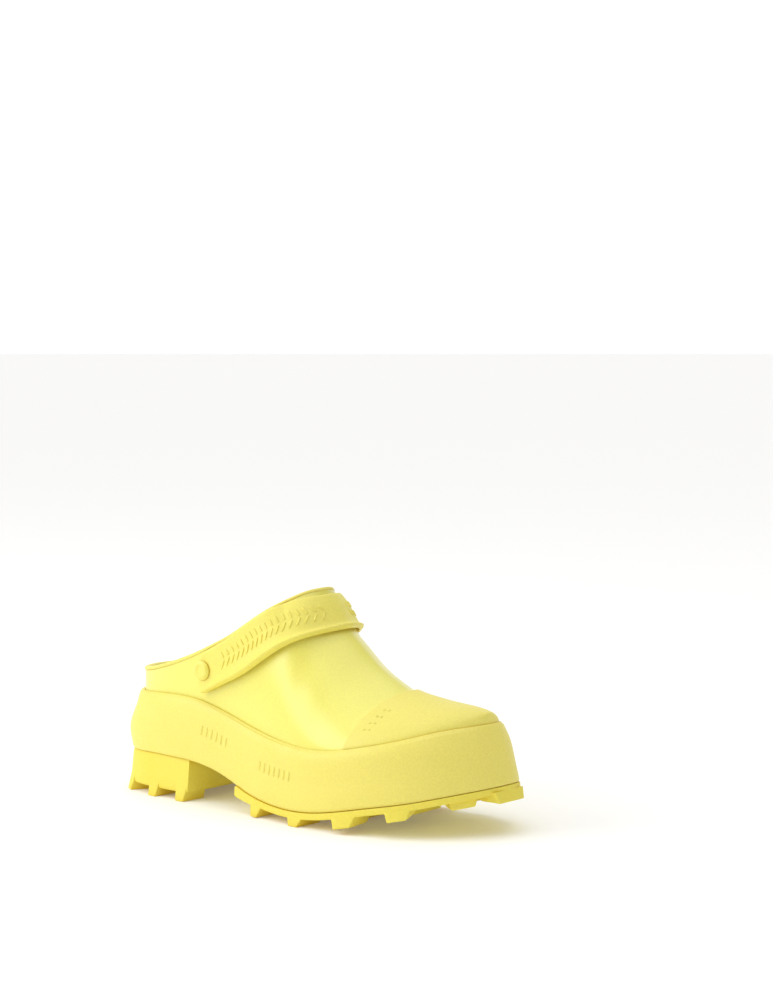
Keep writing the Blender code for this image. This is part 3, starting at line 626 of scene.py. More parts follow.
def steel(name):
    m = bpy.data.materials.new(name)
    m.use_nodes = True
    nt = m.node_tree
    N, L = nt.nodes, nt.links
    b = N["Principled BSDF"]
    b.inputs["Metallic"].default_value = 1.0
    tc = N.new("ShaderNodeTexCoord")
    mp = N.new("ShaderNodeMapping")
    mp.inputs["Scale"].default_value = (20, 900, 900)
    L.new(tc.outputs["Object"], mp.inputs["Vector"])
    n = N.new("ShaderNodeTexNoise")
    n.inputs["Scale"].default_value = 1.0
    n.inputs["Detail"].default_value = 4.0
    L.new(mp.outputs["Vector"], n.inputs["Vector"])
    mx = N.new("ShaderNodeMix")
    mx.data_type = "RGBA"
    mx.inputs[6].default_value = (0.42, 0.43, 0.45, 1)
    mx.inputs[7].default_value = (0.62, 0.63, 0.65, 1)
    L.new(n.outputs["Fac"], mx.inputs[0])
    L.new(mx.outputs[2], b.inputs["Base Color"])
    r = N.new("ShaderNodeMapRange")
    r.inputs["To Min"].default_value = 0.25
    r.inputs["To Max"].default_value = 0.5
    L.new(n.outputs["Fac"], r.inputs["Value"])
    L.new(r.outputs["Result"], b.inputs["Roughness"])
    return m


# The deep orange crease colour passed to these materials is painted shade, laid by ambient occlusion in creases, gaps
# and under edges.
MAT_UPPER = rubber("upper_gloss_rubber", (0.88, 0.825, 0.15), (0.86, 0.785, 0.12), 0.34, coat=0.6,
                   coat_rough=0.28, crease_shade_color=(0.80, 0.62, 0.03), local=True, sss=0.12, wave=0.00018, grain=0.000012, rough_var=0.05, mottling=0.35)
MAT_MATTE = rubber("matte_moulded_rubber", (0.88, 0.775, 0.17), (0.855, 0.735, 0.135), 0.50, coat=0.0,
                   crease_shade_color=(0.80, 0.56, 0.04), sss=0.12, wave=0.00025, grain=0.00005, rough_var=0.07, mottling=0.4, sheen=0.05)
MAT_STRAP = rubber("strap_matte_rubber", (0.89, 0.80, 0.16), (0.865, 0.755, 0.125), 0.48, crease_shade_color=(0.80, 0.50, 0.02), sss=0.12,
                   wave=0.0002, grain=0.00004, rough_var=0.06, mottling=0.4)
MAT_SOLE = rubber("tread_rubber", (0.87, 0.755, 0.10), (0.83, 0.69, 0.07), 0.58, crease_shade_color=(0.78, 0.54, 0.01), reach=0.010, sss=0.08,
                  wave=0.00015, grain=0.00007, rough_var=0.08, mottling=0.5)
MAT_RIVET = rubber("rivet_plastic_satin", (0.88, 0.79, 0.15), (0.86, 0.76, 0.12), 0.34, coat=0.15, crease_shade_color=(0.80, 0.56, 0.04), reach=0.003,
                   coat_rough=0.25, sss=0.15, grain=0.00001, rough_var=0.04, mottling=0.3)
MAT_FOAM = rubber("closed_cell_foam", (0.80, 0.72, 0.42), (0.72, 0.63, 0.34), 0.85, sss=0.1,
                  grain=0.00035, grain_scale=1400.0, mottling=0.6, spec=0.25)
MAT_WEDGE = rubber("midsole_rubber", (0.82, 0.68, 0.10), (0.76, 0.60, 0.08), 0.7, sss=0.08,
                   grain=0.00015, grain_scale=1800.0, mottling=0.5)
MAT_BOARD = rubber("fibre_board", (0.46, 0.35, 0.20), (0.36, 0.26, 0.14), 0.88,
                   grain=0.0002, grain_scale=700.0, mottling=0.9, spec=0.2)
MAT_LINING = textile("lining_knit", (0.80, 0.70, 0.22), (0.55, 0.45, 0.10), pitch=0.0012, depth=0.00018)
MAT_COVER = textile("insole_textile", (0.78, 0.68, 0.20), (0.50, 0.41, 0.09), pitch=0.0014, depth=0.00022)
MAT_STEEL = steel("shank_spring_steel")


# ============================================================== dense stations
def stations(mult):
    return (ease(X0, 55, 7 * mult, k0=2) + ease(55, 138, 7 * mult) + ease(138, XA, 4 * mult, k1=2)
            + ease(XA, XC, 6 * mult) + ease(XC, X1, 9 * mult, k1=2) + [X1])


MULT = 4
ST = stations(MULT)
N_ST = len(ST) - 1
A_ST = 18 * MULT
C_ST = 24 * MULT
assert abs(ST[A_ST] - XA) < 1e-6 and abs(ST[C_ST] - XC) < 1e-6
RNG = [(0, -1)] + [(j, -1) for j in range(1, N_ST)] + [(N_ST, -1)] + [(j, 1) for j in range(N_ST - 1, 0, -1)]


def rings_object(name, rings, mat, node=None, close=True, sharp=35):
    """Rings of the same length joined one after the other, and last to first."""
    sk = Skin()
    ids = [[sk.add(p) for p in r] for r in rings]
    for a, b in zip(ids, ids[1:] + ([ids[0]] if close else [])):
        sk.strip(a, b)
    return new_object(name, sk.v, sk.f, mat, node=node, sharp=sharp)


def layer(name, grow0, grow1, low, mat, rows, node):
    """A skin of the upper between two nested surfaces, open at the collar."""
    sk = Skin()
    grids = []
    ends = {r: rim_phi(ST[r[0]], r[1]) for r in RNG}
    for grow in (grow0, grow1):
        lift = grow * 1.35
        g = {}
        for (j, s) in RNG:
            x = ST[j]
            end = ends[(j, s)]
            col = [sk.add(np.r_[edge(x, s, in_shell(x) + grow), low(x)])]
            for k in range(rows + 1):
                if k == rows and j >= A_ST and s > 0:
                    col.append(g[(j, -1)][-1])
                else:
                    col.append(sk.add(rib(x, s, end * k / rows, grow, lift)))
            g[(j, s)] = col
        grids.append(g)
    for g in grids:
        cols = [g[r] for r in RNG]
        for k in range(rows + 1):
            sk.strip([c[k] for c in cols], [c[k + 1] for c in cols])
    cols0, cols1 = [grids[0][r] for r in RNG], [grids[1][r] for r in RNG]
    sk.strip([c[0] for c in cols0], [c[0] for c in cols1])
    rim = [(j, -1) for j in range(A_ST + 1)] + [(j, 1) for j in range(A_ST - 1, 0, -1)]
    sk.strip([grids[0][r][-1] for r in rim], [grids[1][r][-1] for r in rim])
    return new_object(name, sk.v, sk.f, mat, node=node, sharp=50)


# ----------------------------------------------------------- upper and lining
upper = layer("upper_shell_skin", 0.0, SHELL_T, lambda x: wedge_top(x) + GAP, MAT_UPPER, 26,
              "upper_shell")
lining_skin = layer("lining_skin", SHELL_T + GAP, SHELL_T + GAP + LINING_T,
                    lambda x: wedge_top(x) + GAP, MAT_LINING, 14, "upper_lining")

# --------------------------------------------------------- rolled collar edge
rim_ring = [(j, -1) for j in range(A_ST + 1)] + [(j, 1) for j in range(A_ST - 1, 0, -1)]
IN = SHELL_T + GAP + LINING_T


def rim_mid_point(x, s):
    e = rim_phi(x, s)
    return (rib(x, s, e) + rib(x, s, e, IN, IN * 1.35)) / 2


rim_mid = np.array([rim_mid_point(ST[j], s) for j, s in rim_ring])
rim_n = np.array([surf(ST[j], s, rim_phi(ST[j], s))[1] for j, s in rim_ring])
for _ in range(6):
    rim_n = (np.roll(rim_n, 1, 0) + rim_n * 2 + np.roll(rim_n, -1, 0)) / 4
rim_n /= np.linalg.norm(rim_n, axis=1)[:, None]
tang = np.roll(rim_mid, -1, 0) - np.roll(rim_mid, 1, 0)
up = np.cross(tang, rim_n)
up /= np.linalg.norm(up, axis=1)[:, None]
up *= np.sign(up @ np.array([-0.6, 0, 1.0]))[:, None]
for _ in range(4):
    up = (np.roll(up, 1, 0) + up * 2 + np.roll(up, -1, 0)) / 4
up /= np.linalg.norm(up, axis=1)[:, None]
near = np.exp(-((rim_mid[:, 0] - APEX_X) / 7.0) ** 2)[:, None]
path = rim_mid + up * (BEAD_R + 0.1 + 1.6 * near)
rings = []
for k in range(18):
    a = 2 * math.pi * k / 18
    ca, sa = math.cos(a), math.sin(a)
    rn = 2.35 * math.copysign(abs(ca) ** 0.8, ca)
    ru = 1.45 * math.copysign(abs(sa) ** 0.85, sa)
    rings.append(path + rim_n * (rn + 0.15) + up * ru)
rings_object("collar_binding_bead", rings, MAT_MATTE, node="collar_binding", sharp=0)


# --------------------------------------------------------------- sidewall band
def toe_ridge(x):
    return smoothstep(236, 262, x)


def wall_point(x, s, v, out=0.0):
    xy = edge(x, s, wall_inset(x, v) - out)
    zs = z_seam(xy[0])
    return np.r_[xy, zs + (z_fox(x) - zs) * v]


VS = [0.0, 0.012, 0.03, 0.06, 0.1, 0.15, 0.2, 0.26, 0.32, 0.38, 0.44, 0.5, 0.56, 0.62, 0.68, 0.74,
      0.79, 0.84, 0.88, 0.91, 0.935, 0.955, 0.97]
rings = []
for v in VS:
    lip = 0.7 * (1 - smoothstep(0.0, 0.03, v))          # small radius on the bottom edge
    rings.append(np.array([wall_point(ST[j], s, v, -lip) for j, s in RNG]))
for du, dz in ((0.0, -0.9), (0.25, -0.42), (0.62, -0.12), (1.15, 0.0)):
    row = []
    for j, s in RNG:
        x = ST[j]
        w = toe_ridge(x)
        xy = edge(x, s, in_top(x) + du - 0.1)
        row.append(np.r_[xy, z_fox(x) + dz + 0.5 * w])
    rings.append(np.array(row))
for du, dz in ((1.6, -0.12), (1.95, -0.5)):
    row = []
    for j, s in RNG:
        x = ST[j]
        w = toe_ridge(x)
        xy = edge(x, s, in_top(x) + du - 0.1)
        row.append(np.r_[xy, z_fox(x) + (dz + 0.5) * w])
    rings.append(np.array(row))
for h in (1.0, 0.0):
    rings.append(np.array([np.r_[edge(ST[j], s, in_shell(ST[j]) - GAP),
                                 (z_fox(ST[j]) if h else z_seam(edge(ST[j], s, in_shell(ST[j]) - GAP)[0]))]
                           for j, s in RNG]))
rings_object("sidewall_band_skin", rings, MAT_MATTE, node="sidewall_band", sharp=42)

# -------------------------------------------------------------------- toe cap
CAP_T = 2.0
CAP_ROWS = 26


def cap_top(x, s, phi, drop=0.0):
    b = edge(x, s, in_top(x) + 1.75)
    sx = target(x)
    t = np.array([sx, y_mid(sx)])
    c, q = max(math.cos(phi), 0.0) ** exp_y(x), max(math.sin(phi), 0.0) ** exp_z(x)
    xy = b + (t - b) * (1 - c)
    zb = z_fox(x) + GAP + 0.35
    return np.array([xy[0], xy[1], zb + (z_spine(sx) + 0.45 + CAP_T - zb) * q - drop])


def cap_under(x, s, phi):
    if phi <= 0:
        return np.r_[edge(x, s, in_top(x) + 1.75), z_fox(x) + 0.1]
    p = rib(x, s, phi, -0.25, -0.55)
    p[2] = max(p[2], z_fox(x) + 0.1)
    return p


sk = Skin()
xs_cap = [XC - 0.0, XC + 0.25, XC + 0.7, XC + 1.4] + [x for x in ST[C_ST + 1:] if x > XC + 2.0]
drops = {0: 1.15, 1: 0.5, 2: 0.15, 3: 0.0}
cap_ring = [(j, -1) for j in range(len(xs_cap))] + [(j, 1) for j in range(len(xs_cap) - 2, -1, -1)]
sheets = []
for top in (True, False):
    g = {}
    for (j, s) in cap_ring:
        col = []
        for k in range(CAP_ROWS + 1):
            phi = math.pi / 2 * k / CAP_ROWS
            if k == CAP_ROWS and s > 0:
                col.append(g[(j, -1)][-1])
            elif top:
                col.append(sk.add(cap_top(xs_cap[j], s, phi, drops.get(j, 0.0))))
            else:
                col.append(sk.add(cap_under(xs_cap[j], s, phi)))
        g[(j, s)] = col
    sheets.append(g)
for g in sheets:
    cols = [g[r] for r in cap_ring]
    for k in range(CAP_ROWS):
        sk.strip([c[k] for c in cols], [c[k + 1] for c in cols], closed=False)
sk.strip([sheets[0][r][0] for r in cap_ring], [sheets[1][r][0] for r in cap_ring], closed=False)
back = [[g[(0, -1)][k] for k in range(CAP_ROWS + 1)] + [g[(0, 1)][k] for k in range(CAP_ROWS - 1, -1, -1)]
        for g in sheets]
sk.strip(back[0], back[1], closed=False)
new_object("toe_cap_skin", sk.v, sk.f, MAT_MATTE, node="toe_cap", sharp=60)


# ------------------------------------------------------- raised generic relief
def raised(sk, point, quad, height, nu=6, nv=5, sink=0.5):
    """A rounded raised block on a surface. point(u, v) gives position and
    normal; quad is four (u, v) corners."""
    q = [np.array(c, float) for c in quad]
    top, low = {}, {}
    for i in range(nu + 1):
        for j in range(nv + 1):
            a, b = i / nu, j / nv
            uv = (q[0] * (1 - a) + q[1] * a) * (1 - b) + (q[3] * (1 - a) + q[2] * a) * b
            p, n = point(*uv)
            ea = min(a, 1 - a) * 2
            eb = min(b, 1 - b) * 2
            h = height * (1 - (1 - min(ea * 1.6, 1)) ** 2.2) ** 0.5 * (1 - (1 - min(eb * 1.6, 1)) ** 2.2) ** 0.5
            rim_ = i in (0, nu) or j in (0, nv)
            top[(i, j)] = sk.add(p + n * (h - (0.12 if rim_ else 0.0)))
            low[(i, j)] = sk.add(p - n * sink)
    for i in range(nu):
        for j in range(nv):
            sk.f.append([top[(i, j)], top[(i + 1, j)], top[(i + 1, j + 1)], top[(i, j + 1)]])
            sk.f.append([low[(i, j)], low[(i, j + 1)], low[(i + 1, j + 1)], low[(i + 1, j)]])
    border = ([(i, 0) for i in range(nu)] + [(nu, j) for j in range(nv)]
              + [(i, nv) for i in range(nu, 0, -1)] + [(0, j) for j in range(nv, 0, -1)])
    a, b = [top[c] for c in border], [low[c] for c in border]
    sk.strip(a, b)


def wall_frame(s):
    def f(x, v):
        p = wall_point(x, s, v)
        a = wall_point(x + 0.5, s, v) - wall_point(x - 0.5, s, v)
        b = wall_point(x, s, v + 0.01) - wall_point(x, s, v - 0.01)
        n = np.cross(a, b)
        n /= np.linalg.norm(n)
        if n[1] * s < 0:
            n = -n
        return p, n
    return f


def cap_frame(x, phi_s):
    s = -1 if phi_s >= 0 else 1
    phi = abs(phi_s)
    p = cap_top(x, s, phi)
    a = cap_top(x + 0.4, s, phi) - cap_top(x - 0.4, s, phi)
    b = cap_top(x, s, phi + 0.01) - cap_top(x, s, phi - 0.01)
    n = np.cross(a, b)
    n /= np.linalg.norm(n)
    return p, (n if n[2] > 0 else -n)


sk = Skin()
f = wall_frame(-1)
# two groups of short slanted grip bars on the lateral side
for x0, n, v0, v1 in ((90.5, 6, 0.47, 0.66), (147.5, 7, 0.44, 0.62)):
    for i in range(n):
        xa = x0 + i * 4.6
        raised(sk, f, [(xa, v0), (xa + 2.2, v0), (xa + 3.4, v1), (xa + 1.2, v1)], 0.6, 4, 5)
new_object("sidewall_grip_bars", sk.v, sk.f, MAT_MATTE, sharp=60)
sk = Skin()
for i in range(7):
    ph = 0.52 + 0.07 * i
    for (a, b) in ((XC + 7.0, XC + 9.0), (XC + 10.6, XC + 12.6)):
        if b > XC + 8 and i % 2:
            continue
        raised(sk, cap_frame, [(a, ph), (b, ph), (b, ph + 0.036), (a, ph + 0.036)], 0.5, 4, 4)
new_object("toe_cap_grip_dots", sk.v, sk.f, MAT_MATTE, sharp=60)


# ----------------------------------------------------------------- heel strap
def strap_edge_round(q, width=27.0, r=1.9):
    """Thickness factor that rounds the long edges."""
    d = min(q, 1 - q) * width
    if d >= r:
        return 1.0
    k = (r - d) / r
    return math.sqrt(max(1 - k * k, 0.0))


def strap_hi(m, s, q, outer):
    """As strap_point, with the edges and the end rounded."""
    top = strap_point(m, s, q, True)
    low = strap_point(m, s, q, False)
    f = strap_edge_round(q)
    em = min(m * 60.0 / 1.7, 1.0)
    f *= math.sqrt(max(1 - (1 - em) ** 2, 0.0))
    if outer:
        return low + (top - low) * (0.42 + 0.58 * f)
    return low + (top - low) * 0.42 * (1 - f) * 0.9


QN = 30
QQ = [0.5 - 0.5 * math.cos(math.pi * i / QN) for i in range(QN + 1)]
QQ = sorted(set([0.0, 0.012, 0.03, 0.055, 0.09] + [0.13 + 0.6 * i / 12 for i in range(13)]
                + [0.77, 0.80, 0.83, 0.86, 0.885, 0.91, 0.93, 0.95, 0.965, 0.978, 0.99, 1.0]))
MM = 72
ms = [0.0, 0.004, 0.010, 0.018, 0.028] + [0.028 + (1 - 0.028) * (i / MM) for i in range(1, MM + 1)]
line = [(m, -1) for m in ms] + [(m, 1) for m in reversed(ms[:-1])]
sk = Skin()
sect = []
for (m, s) in line:
    sect.append([sk.add(strap_hi(m, s, q, True)) for q in QQ]
                + [sk.add(strap_hi(m, s, q, False)) for q in reversed(QQ)])
for a, b in zip(sect, sect[1:]):
    sk.strip(a, b)
nq = len(QQ)
for e in (sect[0], sect[-1]):
    for i in range(nq - 1):
        sk.f.append([e[i], e[i + 1], e[2 * nq - 2 - i], e[2 * nq - 1 - i]])
strap = new_object("heel_strap_skin", sk.v, sk.f, MAT_STRAP, body="strap", node="heel_strap", sharp=70)


def strap_frame(s):
    def f(m, q):
        p = strap_hi(m, s, q, True)
        a = strap_hi(min(m + 0.004, 1), s, q, True) - strap_hi(m - 0.004, s, q, True)
        b = strap_hi(m, s, q + 0.004, True) - strap_hi(m, s, q - 0.004, True)
        n = np.cross(a, b)
        n /= np.linalg.norm(n)
        c = p - strap_hi(m, s, q, False)
        return p, (n if n @ c > 0 else -n)
    return f


sk = Skin()
for s in (-1, 1):
    f = strap_frame(s)
    m0 = 0.155
    while m0 < 0.90:
        g = 1.0 + 0.55 * smoothstep(0.4, 0.8, m0)
        w, lean = 0.0125 * g, 0.020 * g
        raised(sk, f, [(m0, 0.66), (m0 + w, 0.66), (m0 + w + lean, 0.47), (m0 + lean, 0.47)], 0.65, 4, 6)
        raised(sk, f, [(m0 + lean, 0.43), (m0 + w + lean, 0.43), (m0 + w, 0.24), (m0, 0.24)], 0.65, 4, 6)
        m0 += 0.036 * g
new_object("strap_grip_bars", sk.v, sk.f, MAT_STRAP, body="strap", sharp=60)


# --------------------------------------------------------------------- rivets
def lathe(name, profile, side, y0, mat, node, steps=64):
    """Turned piece on the pivot axis, profile (radius, distance outwards)."""
    sk = Skin()
    loops = []
    closed = profile[0] == profile[-1]
    pts = profile[:-1] if closed else profile
    for r, d in pts:
        if r <= 1e-9:
            i = sk.add((PIVOT_X, y0 + side * d, PIVOT_Z))
            loops.append([i] * steps)
        else:
            loops.append([sk.add((PIVOT_X + r * math.cos(2 * math.pi * k / steps), y0 + side * d,
                                  PIVOT_Z + r * math.sin(2 * math.pi * k / steps))) for k in range(steps)])
    for a, b in zip(loops, loops[1:] + ([loops[0]] if closed else [])):
        sk.strip(a, b)
    return new_object(name, sk.v, sk.f, mat, node=node, sharp=50)


inside = SHELL_T + GAP + LINING_T + GAP
for s, tag in ((-1, "lateral"), (1, "medial")):
    y_strap = y_pad[s] + STRAP_T
    wall = abs(rib(95, s, 0.35)[1]) - inside - 1.2
    reach = y_strap + GAP - wall + 1.9
    head = [(0, 1.75), (1.2, 1.74), (2.1, 1.70), (2.7, 1.78), (3.3, 2.0), (3.9, 2.12), (4.5, 2.05), (5.1, 1.82),
            (5.7, 1.42), (6.1, 1.0), (6.32, 0.6), (HEAD_R, 0.25), (HEAD_R - 0.1, 0.06), (HEAD_R - 0.35, 0.0),
            (SHANK_R, 0.0), (SHANK_R, -reach + 0.3), (SHANK_R - 0.3, -reach), (0, -reach)]
    lathe("rivet_button_%s_skin" % tag, head, s, s * (y_strap + GAP), MAT_RIVET, "rivet_button_" + tag)
    c0 = wall - 0.2
    cap = [(HOLE_R, -0.1), (HOLE_R + 0.1, 0.0), (CAP_R - 0.15, 0.0), (CAP_R, -0.15), (CAP_R, -0.8), (CAP_R - 0.12, -1.15),
           (CAP_R - 0.4, -1.5), (CAP_R - 0.9, -1.68), (HOLE_R + 0.3, -1.7), (HOLE_R, -1.55), (HOLE_R, -0.1)]
    lathe("rivet_cap_%s_skin" % tag, cap, s, s * c0, MAT_RIVET, "rivet_cap_" + tag)


# ------------------------------------------------------------------ the insole
def slab(name, inset, top, bottom, mat, node, dish=0.0, edge_r=0.6, cols=14):
    """A sheet over the footbed with rounded edges; dish lifts its margin."""
    xs = ST
    sk = Skin()

    def level(zf, extra, lift):
        rows = []
        for j, x in enumerate(xs):
            a, b = edge(x, -1, inset(x) + extra), edge(x, 1, inset(x) + extra)
            if j in (0, len(xs) - 1):
                m = (a + b) / 2
                rows.append([sk.add(np.r_[m, zf(m[0]) + lift])])
                continue
            row = []
            for k in range(cols + 1):
                u = k / cols
                w = 0.5 - 0.5 * math.cos(math.pi * u)
                p = a + (b - a) * w
                d = abs(2 * w - 1)
                row.append(sk.add(np.r_[p, zf(p[0]) + lift + dish * d ** 3]))
            rows.append(row)
        return rows

    def border(rows):
        return [rows[0][0]] + [r[0] for r in rows[1:-1]] + [rows[-1][0]] + [r[-1] for r in reversed(rows[1:-1])]

    def skin(rows, flip):
        for a, b in zip(rows, rows[1:]):
            if len(a) == 1:
                for k in range(len(b) - 1):
                    sk.f.append([a[0], b[k + 1], b[k]])
            elif len(b) == 1:
                for k in range(len(a) - 1):
                    sk.f.append([a[k], a[k + 1], b[0]])
            else:
                for k in range(len(a) - 1):
                    sk.f.append([a[k], a[k + 1], b[k + 1], b[k]])

    T = level(top, edge_r, 0.0)
    B = level(bottom, edge_r * 0.4, 0.0)
    loops = [border(T)]
    for ex, fz in ((edge_r * 0.3, -edge_r * 0.3), (0.0, -edge_r)):
        loop = []
        for (j, s) in RNG:
            p = edge(ST[j], s, inset(ST[j]) + ex)
            loop.append(sk.add(np.r_[p, top(p[0]) + fz + dish]))
        loops.append(loop)
    loops.append(border(B))
    for a, b in zip(loops, loops[1:]):
        sk.strip(a, b)
    skin(T, False)
    skin(B, True)
    return new_object(name, sk.v, sk.f, mat, node=node, sharp=50)


cover = slab("insole_sock", lambda x: in_shell(x) + inside + 0.1,
             lambda x: wedge_top(x) + 3 * GAP + BOARD_T + FOAM_T + COVER_T,
             lambda x: wedge_top(x) + 3 * GAP + BOARD_T + FOAM_T, MAT_COVER, "insole_cover",
             dish=0.0, edge_r=0.35)
foam = slab("insole_foam_pad", lambda x: in_shell(x) + inside + 0.3,
            lambda x: wedge_top(x) + 2 * GAP + BOARD_T + FOAM_T,
            lambda x: wedge_top(x) + 2 * GAP + BOARD_T, MAT_FOAM, "insole_foam", edge_r=0.7)
# The sock is cut flat to the footbed's outline and laid on the foam.
_rim = [edge(ST[j], s, in_shell(ST[j]) + inside + 0.1)[:2] for j, s in RNG]


# ---------------------------------------------------------------- the treads
def plate_hi(name, inset_top, inset_low, top, bottom, mat, x_from=None, x_to=None, r=0.7):
    """The flat part of a tread, with rounded edges."""
    xs = list(ST)
    if x_from is not None:
        xs = [x_from] + [x for x in xs if x > x_from + 1]
    if x_to is not None:
        xs = [x for x in xs if x < x_to - 1] + [x_to]
    ring = [(x, -1) for x in xs]
    ring += ([(xs[-1], 1)] if x_to is not None else [])
    ring += [(x, 1) for x in reversed(xs[1:-1])]
    ring += ([(xs[0], 1)] if x_from is not None else [])
    sk = Skin()
    loops = []
    for h in (1.0, 0.97, 0.86, 0.6, 0.3, 0.14, 0.04, 0.0):
        loop = []
        for (x, s) in ring:
            lip = r * (1 - math.sqrt(max(1 - max((h - 0.86) / 0.14, (0.14 - h) / 0.14, 0) ** 2, 0)))
            ins = inset_low + (inset_top - inset_low) * h + lip
            xq = x
            if x_from is not None and x == xs[0]:
                xq = x + lip
            if x_to is not None and x == xs[-1]:
                xq = x - lip
            xy = edge(xq, s, ins)
            zt, zb = top(xy[0]), bottom(xy[0])
            loop.append(sk.add(np.r_[xy, zb + (zt - zb) * h]))
        loops.append(loop)
    for a, b in zip(loops, loops[1:]):
        sk.strip(a, b)
    for loop in (loops[0], loops[-1]):
        ids = {q: loop[i] for i, q in enumerate(ring)}
        for xa, xb in zip(xs, xs[1:]):
            q = []
            for w in (ids[(xa, -1)], ids[(xb, -1)], ids.get((xb, 1), ids[(xb, -1)]), ids.get((xa, 1), ids[(xa, -1)])):
                if w not in q:
                    q.append(w)
            if len(q) > 2:
                sk.f.append(q)
    return sk


def lug(bm, x, s, half, depth, z0, z1, flare=1.6, out=LUG_OUT, root=-0.95):
    """A tapered tread block with rounded edges, added to a bmesh."""
    c = edge(x, s, 0.0)
    n = edge(x, s, 1.0) - c
    n /= np.hypot(*n)
    t = np.array([-n[1], n[0]])
    vs = []
    for top in (1, 0):
        h = half + (flare if top else 0.0)
        o = out if not top else min(root, out)
        for a, b in ((-h, -o), (h, -o), (h, depth + (2 if top else 0)), (-h, depth + (2 if top else 0))):
            q = c + t * a + n * b
            z = z0(q[0]) if top else z1(c[0] + (t * a)[0])
            vs.append(bm.verts.new(put(np.r_[q, z])))
    block(bm, vs)


def block(bm, vs):
    fs = [bm.faces.new(vs[0:4]), bm.faces.new(vs[4:8][::-1])]
    for i in range(4):
        k = (i + 1) % 4
        fs.append(bm.faces.new([vs[i], vs[k], vs[4 + k], vs[4 + i]]))
    bmesh.ops.recalc_face_normals(bm, faces=fs)
    es = {e for f_ in fs for e in f_.edges if not all(v in vs[:4] for v in e.verts)}
    bmesh.ops.bevel(bm, geom=list(es), offset=0.0007, offset_type="OFFSET", segments=3,
                    profile=0.5, affect="EDGES", clamp_overlap=True)


def tread_object(name, sk, lugs, mat, node):
    me = bpy.data.meshes.new(name)
    me.from_pydata([put(v) for v in sk.v], [], sk.f)
    bm = bmesh.new()
    bm.from_mesh(me)
    bmesh.ops.remove_doubles(bm, verts=bm.verts, dist=1e-6)
    bmesh.ops.recalc_face_normals(bm, faces=bm.faces)
    if bm.calc_volume(signed=True) < 0:
        bmesh.ops.reverse_faces(bm, faces=bm.faces)
    bm.to_mesh(me)
    bm.free()
    me.materials.append(mat)
    ob = bpy.data.objects.new(name, me)
    bpy.context.scene.collection.objects.link(ob)
    for group in lugs:
        bm = bmesh.new()
        for make in group:
            make(bm)
        lm = bpy.data.meshes.new(name + "_blocks")
        bm.to_mesh(lm)
        bm.free()
        lo = bpy.data.objects.new(name + "_blocks", lm)
        bpy.context.scene.collection.objects.link(lo)
        lm.materials.append(mat)
        md = ob.modifiers.new("join", "BOOLEAN")
        md.operation = "UNION"
        md.solver = "EXACT"
        md.object = lo
        dg = bpy.context.evaluated_depsgraph_get()
        res = bpy.data.meshes.new_from_object(ob.evaluated_get(dg))
        ob.modifiers.clear()
        ob.data = res
        bpy.data.objects.remove(lo, do_unlink=True)
    res.shade_smooth()
    res.set_sharp_from_angle(angle=math.radians(32))
    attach(ob, "shoe")
    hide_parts(node)
    return ob


PLATE_T = 4.2


def plate_t(x):
    return PLATE_T + 2.6 * min(max((150 - x) / 24, 0), 1)


def lug_top(x):
    return z_seam(x) - 3.0


FORE_LUGS = [(145, 2.8, 3.0, 1.4), (182, 3.6, 3.4, 1.4), (221, 6.0, 3.0, 1.4),
             (256, 6.0, 2.4, 1.4)]


def lug_job(x, s, half, flare, out, depth):
    return lambda bm: lug(bm, x, s, half, depth, lug_top, z_tread, flare, out)


jobs = [[lug_job(r[0], s, r[1], r[2], r[3], 19.0) for r in FORE_LUGS for s in (-1, 1)],
        [lug_job(288.5, -1, 7.5, 1.5, -4.0, 17.0), lug_job(279, 1, 7.0, 1.5, 1.2, 17.0)],
        [lug_job(X1 - 0.01, -1, 12.0, 2.0, 1.6, 13.0)],
        []]


def centre_block(bm, x):
    vs = []
    for grow, zf in ((1.6, lambda q: z_seam(q) - 3.0), (0.0, lambda q: z_tread(q) + 0.3)):
        for dx, dy in ((-6 - grow, -13 - grow), (6 + grow, -13 - grow), (6 + grow, 13 + grow), (-6 - grow, 13 + grow)):
            vs.append(bm.verts.new(put((x + dx, dy - 3, zf(x + (dx if grow == 0 else 0))))))
    block(bm, vs)


for x in (163, 202, 240):
    jobs[-1].append(lambda bm, x=x: centre_block(bm, x))
sk = plate_hi("fore", 1.0, 0.6, lambda x: z_seam(x) - GAP,
              lambda x: max(z_seam(x) - GAP - plate_t(x), z_tread(x) + 4.0), MAT_SOLE, x_from=FORE_BACK)
tread_object("forefoot_tread", sk, jobs, MAT_SOLE, "forefoot_outsole")

HEEL_Z = 5.6
jobs = [[], []]
for x, half in ((18, 3.6), (46, 3.8), (72.5, 3.8)):
    for s in (-1, 1):
        jobs[0].append(lambda bm, x=x, s=s, half=half: lug(bm, x, s, half, 18.0, lambda q: 12.5, lambda q: 0.0,
                                                           1.5, 1.3, -1.9))
jobs[1].append(lambda bm: lug(bm, X0 + 0.01, -1, 5.0, 13.0, lambda q: 12.5, lambda q: 0.0, 1.5, 1.3, -1.9))
sk = plate_hi("heel", 3.0, 1.0, lambda x: z_seam(x) - GAP, lambda x: HEEL_Z, MAT_SOLE, x_to=HEEL_FRONT, r=0.9)
tread_object("heel_tread_block", sk, jobs, MAT_SOLE, "heel_outsole")

# carried-over CAD nodes
for node, mat in (("midsole_wedge", MAT_WEDGE), ("insole_board", MAT_BOARD), ("shank_plate", MAT_STEEL)):
    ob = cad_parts[node]
    ob = ob if isinstance(ob, bpy.types.Object) else bpy.data.objects[node]
    if ob.material_slots:
        for sl in ob.material_slots:
            sl.link = "OBJECT"
            sl.material = mat
    else:
        ob.data.materials.append(mat)

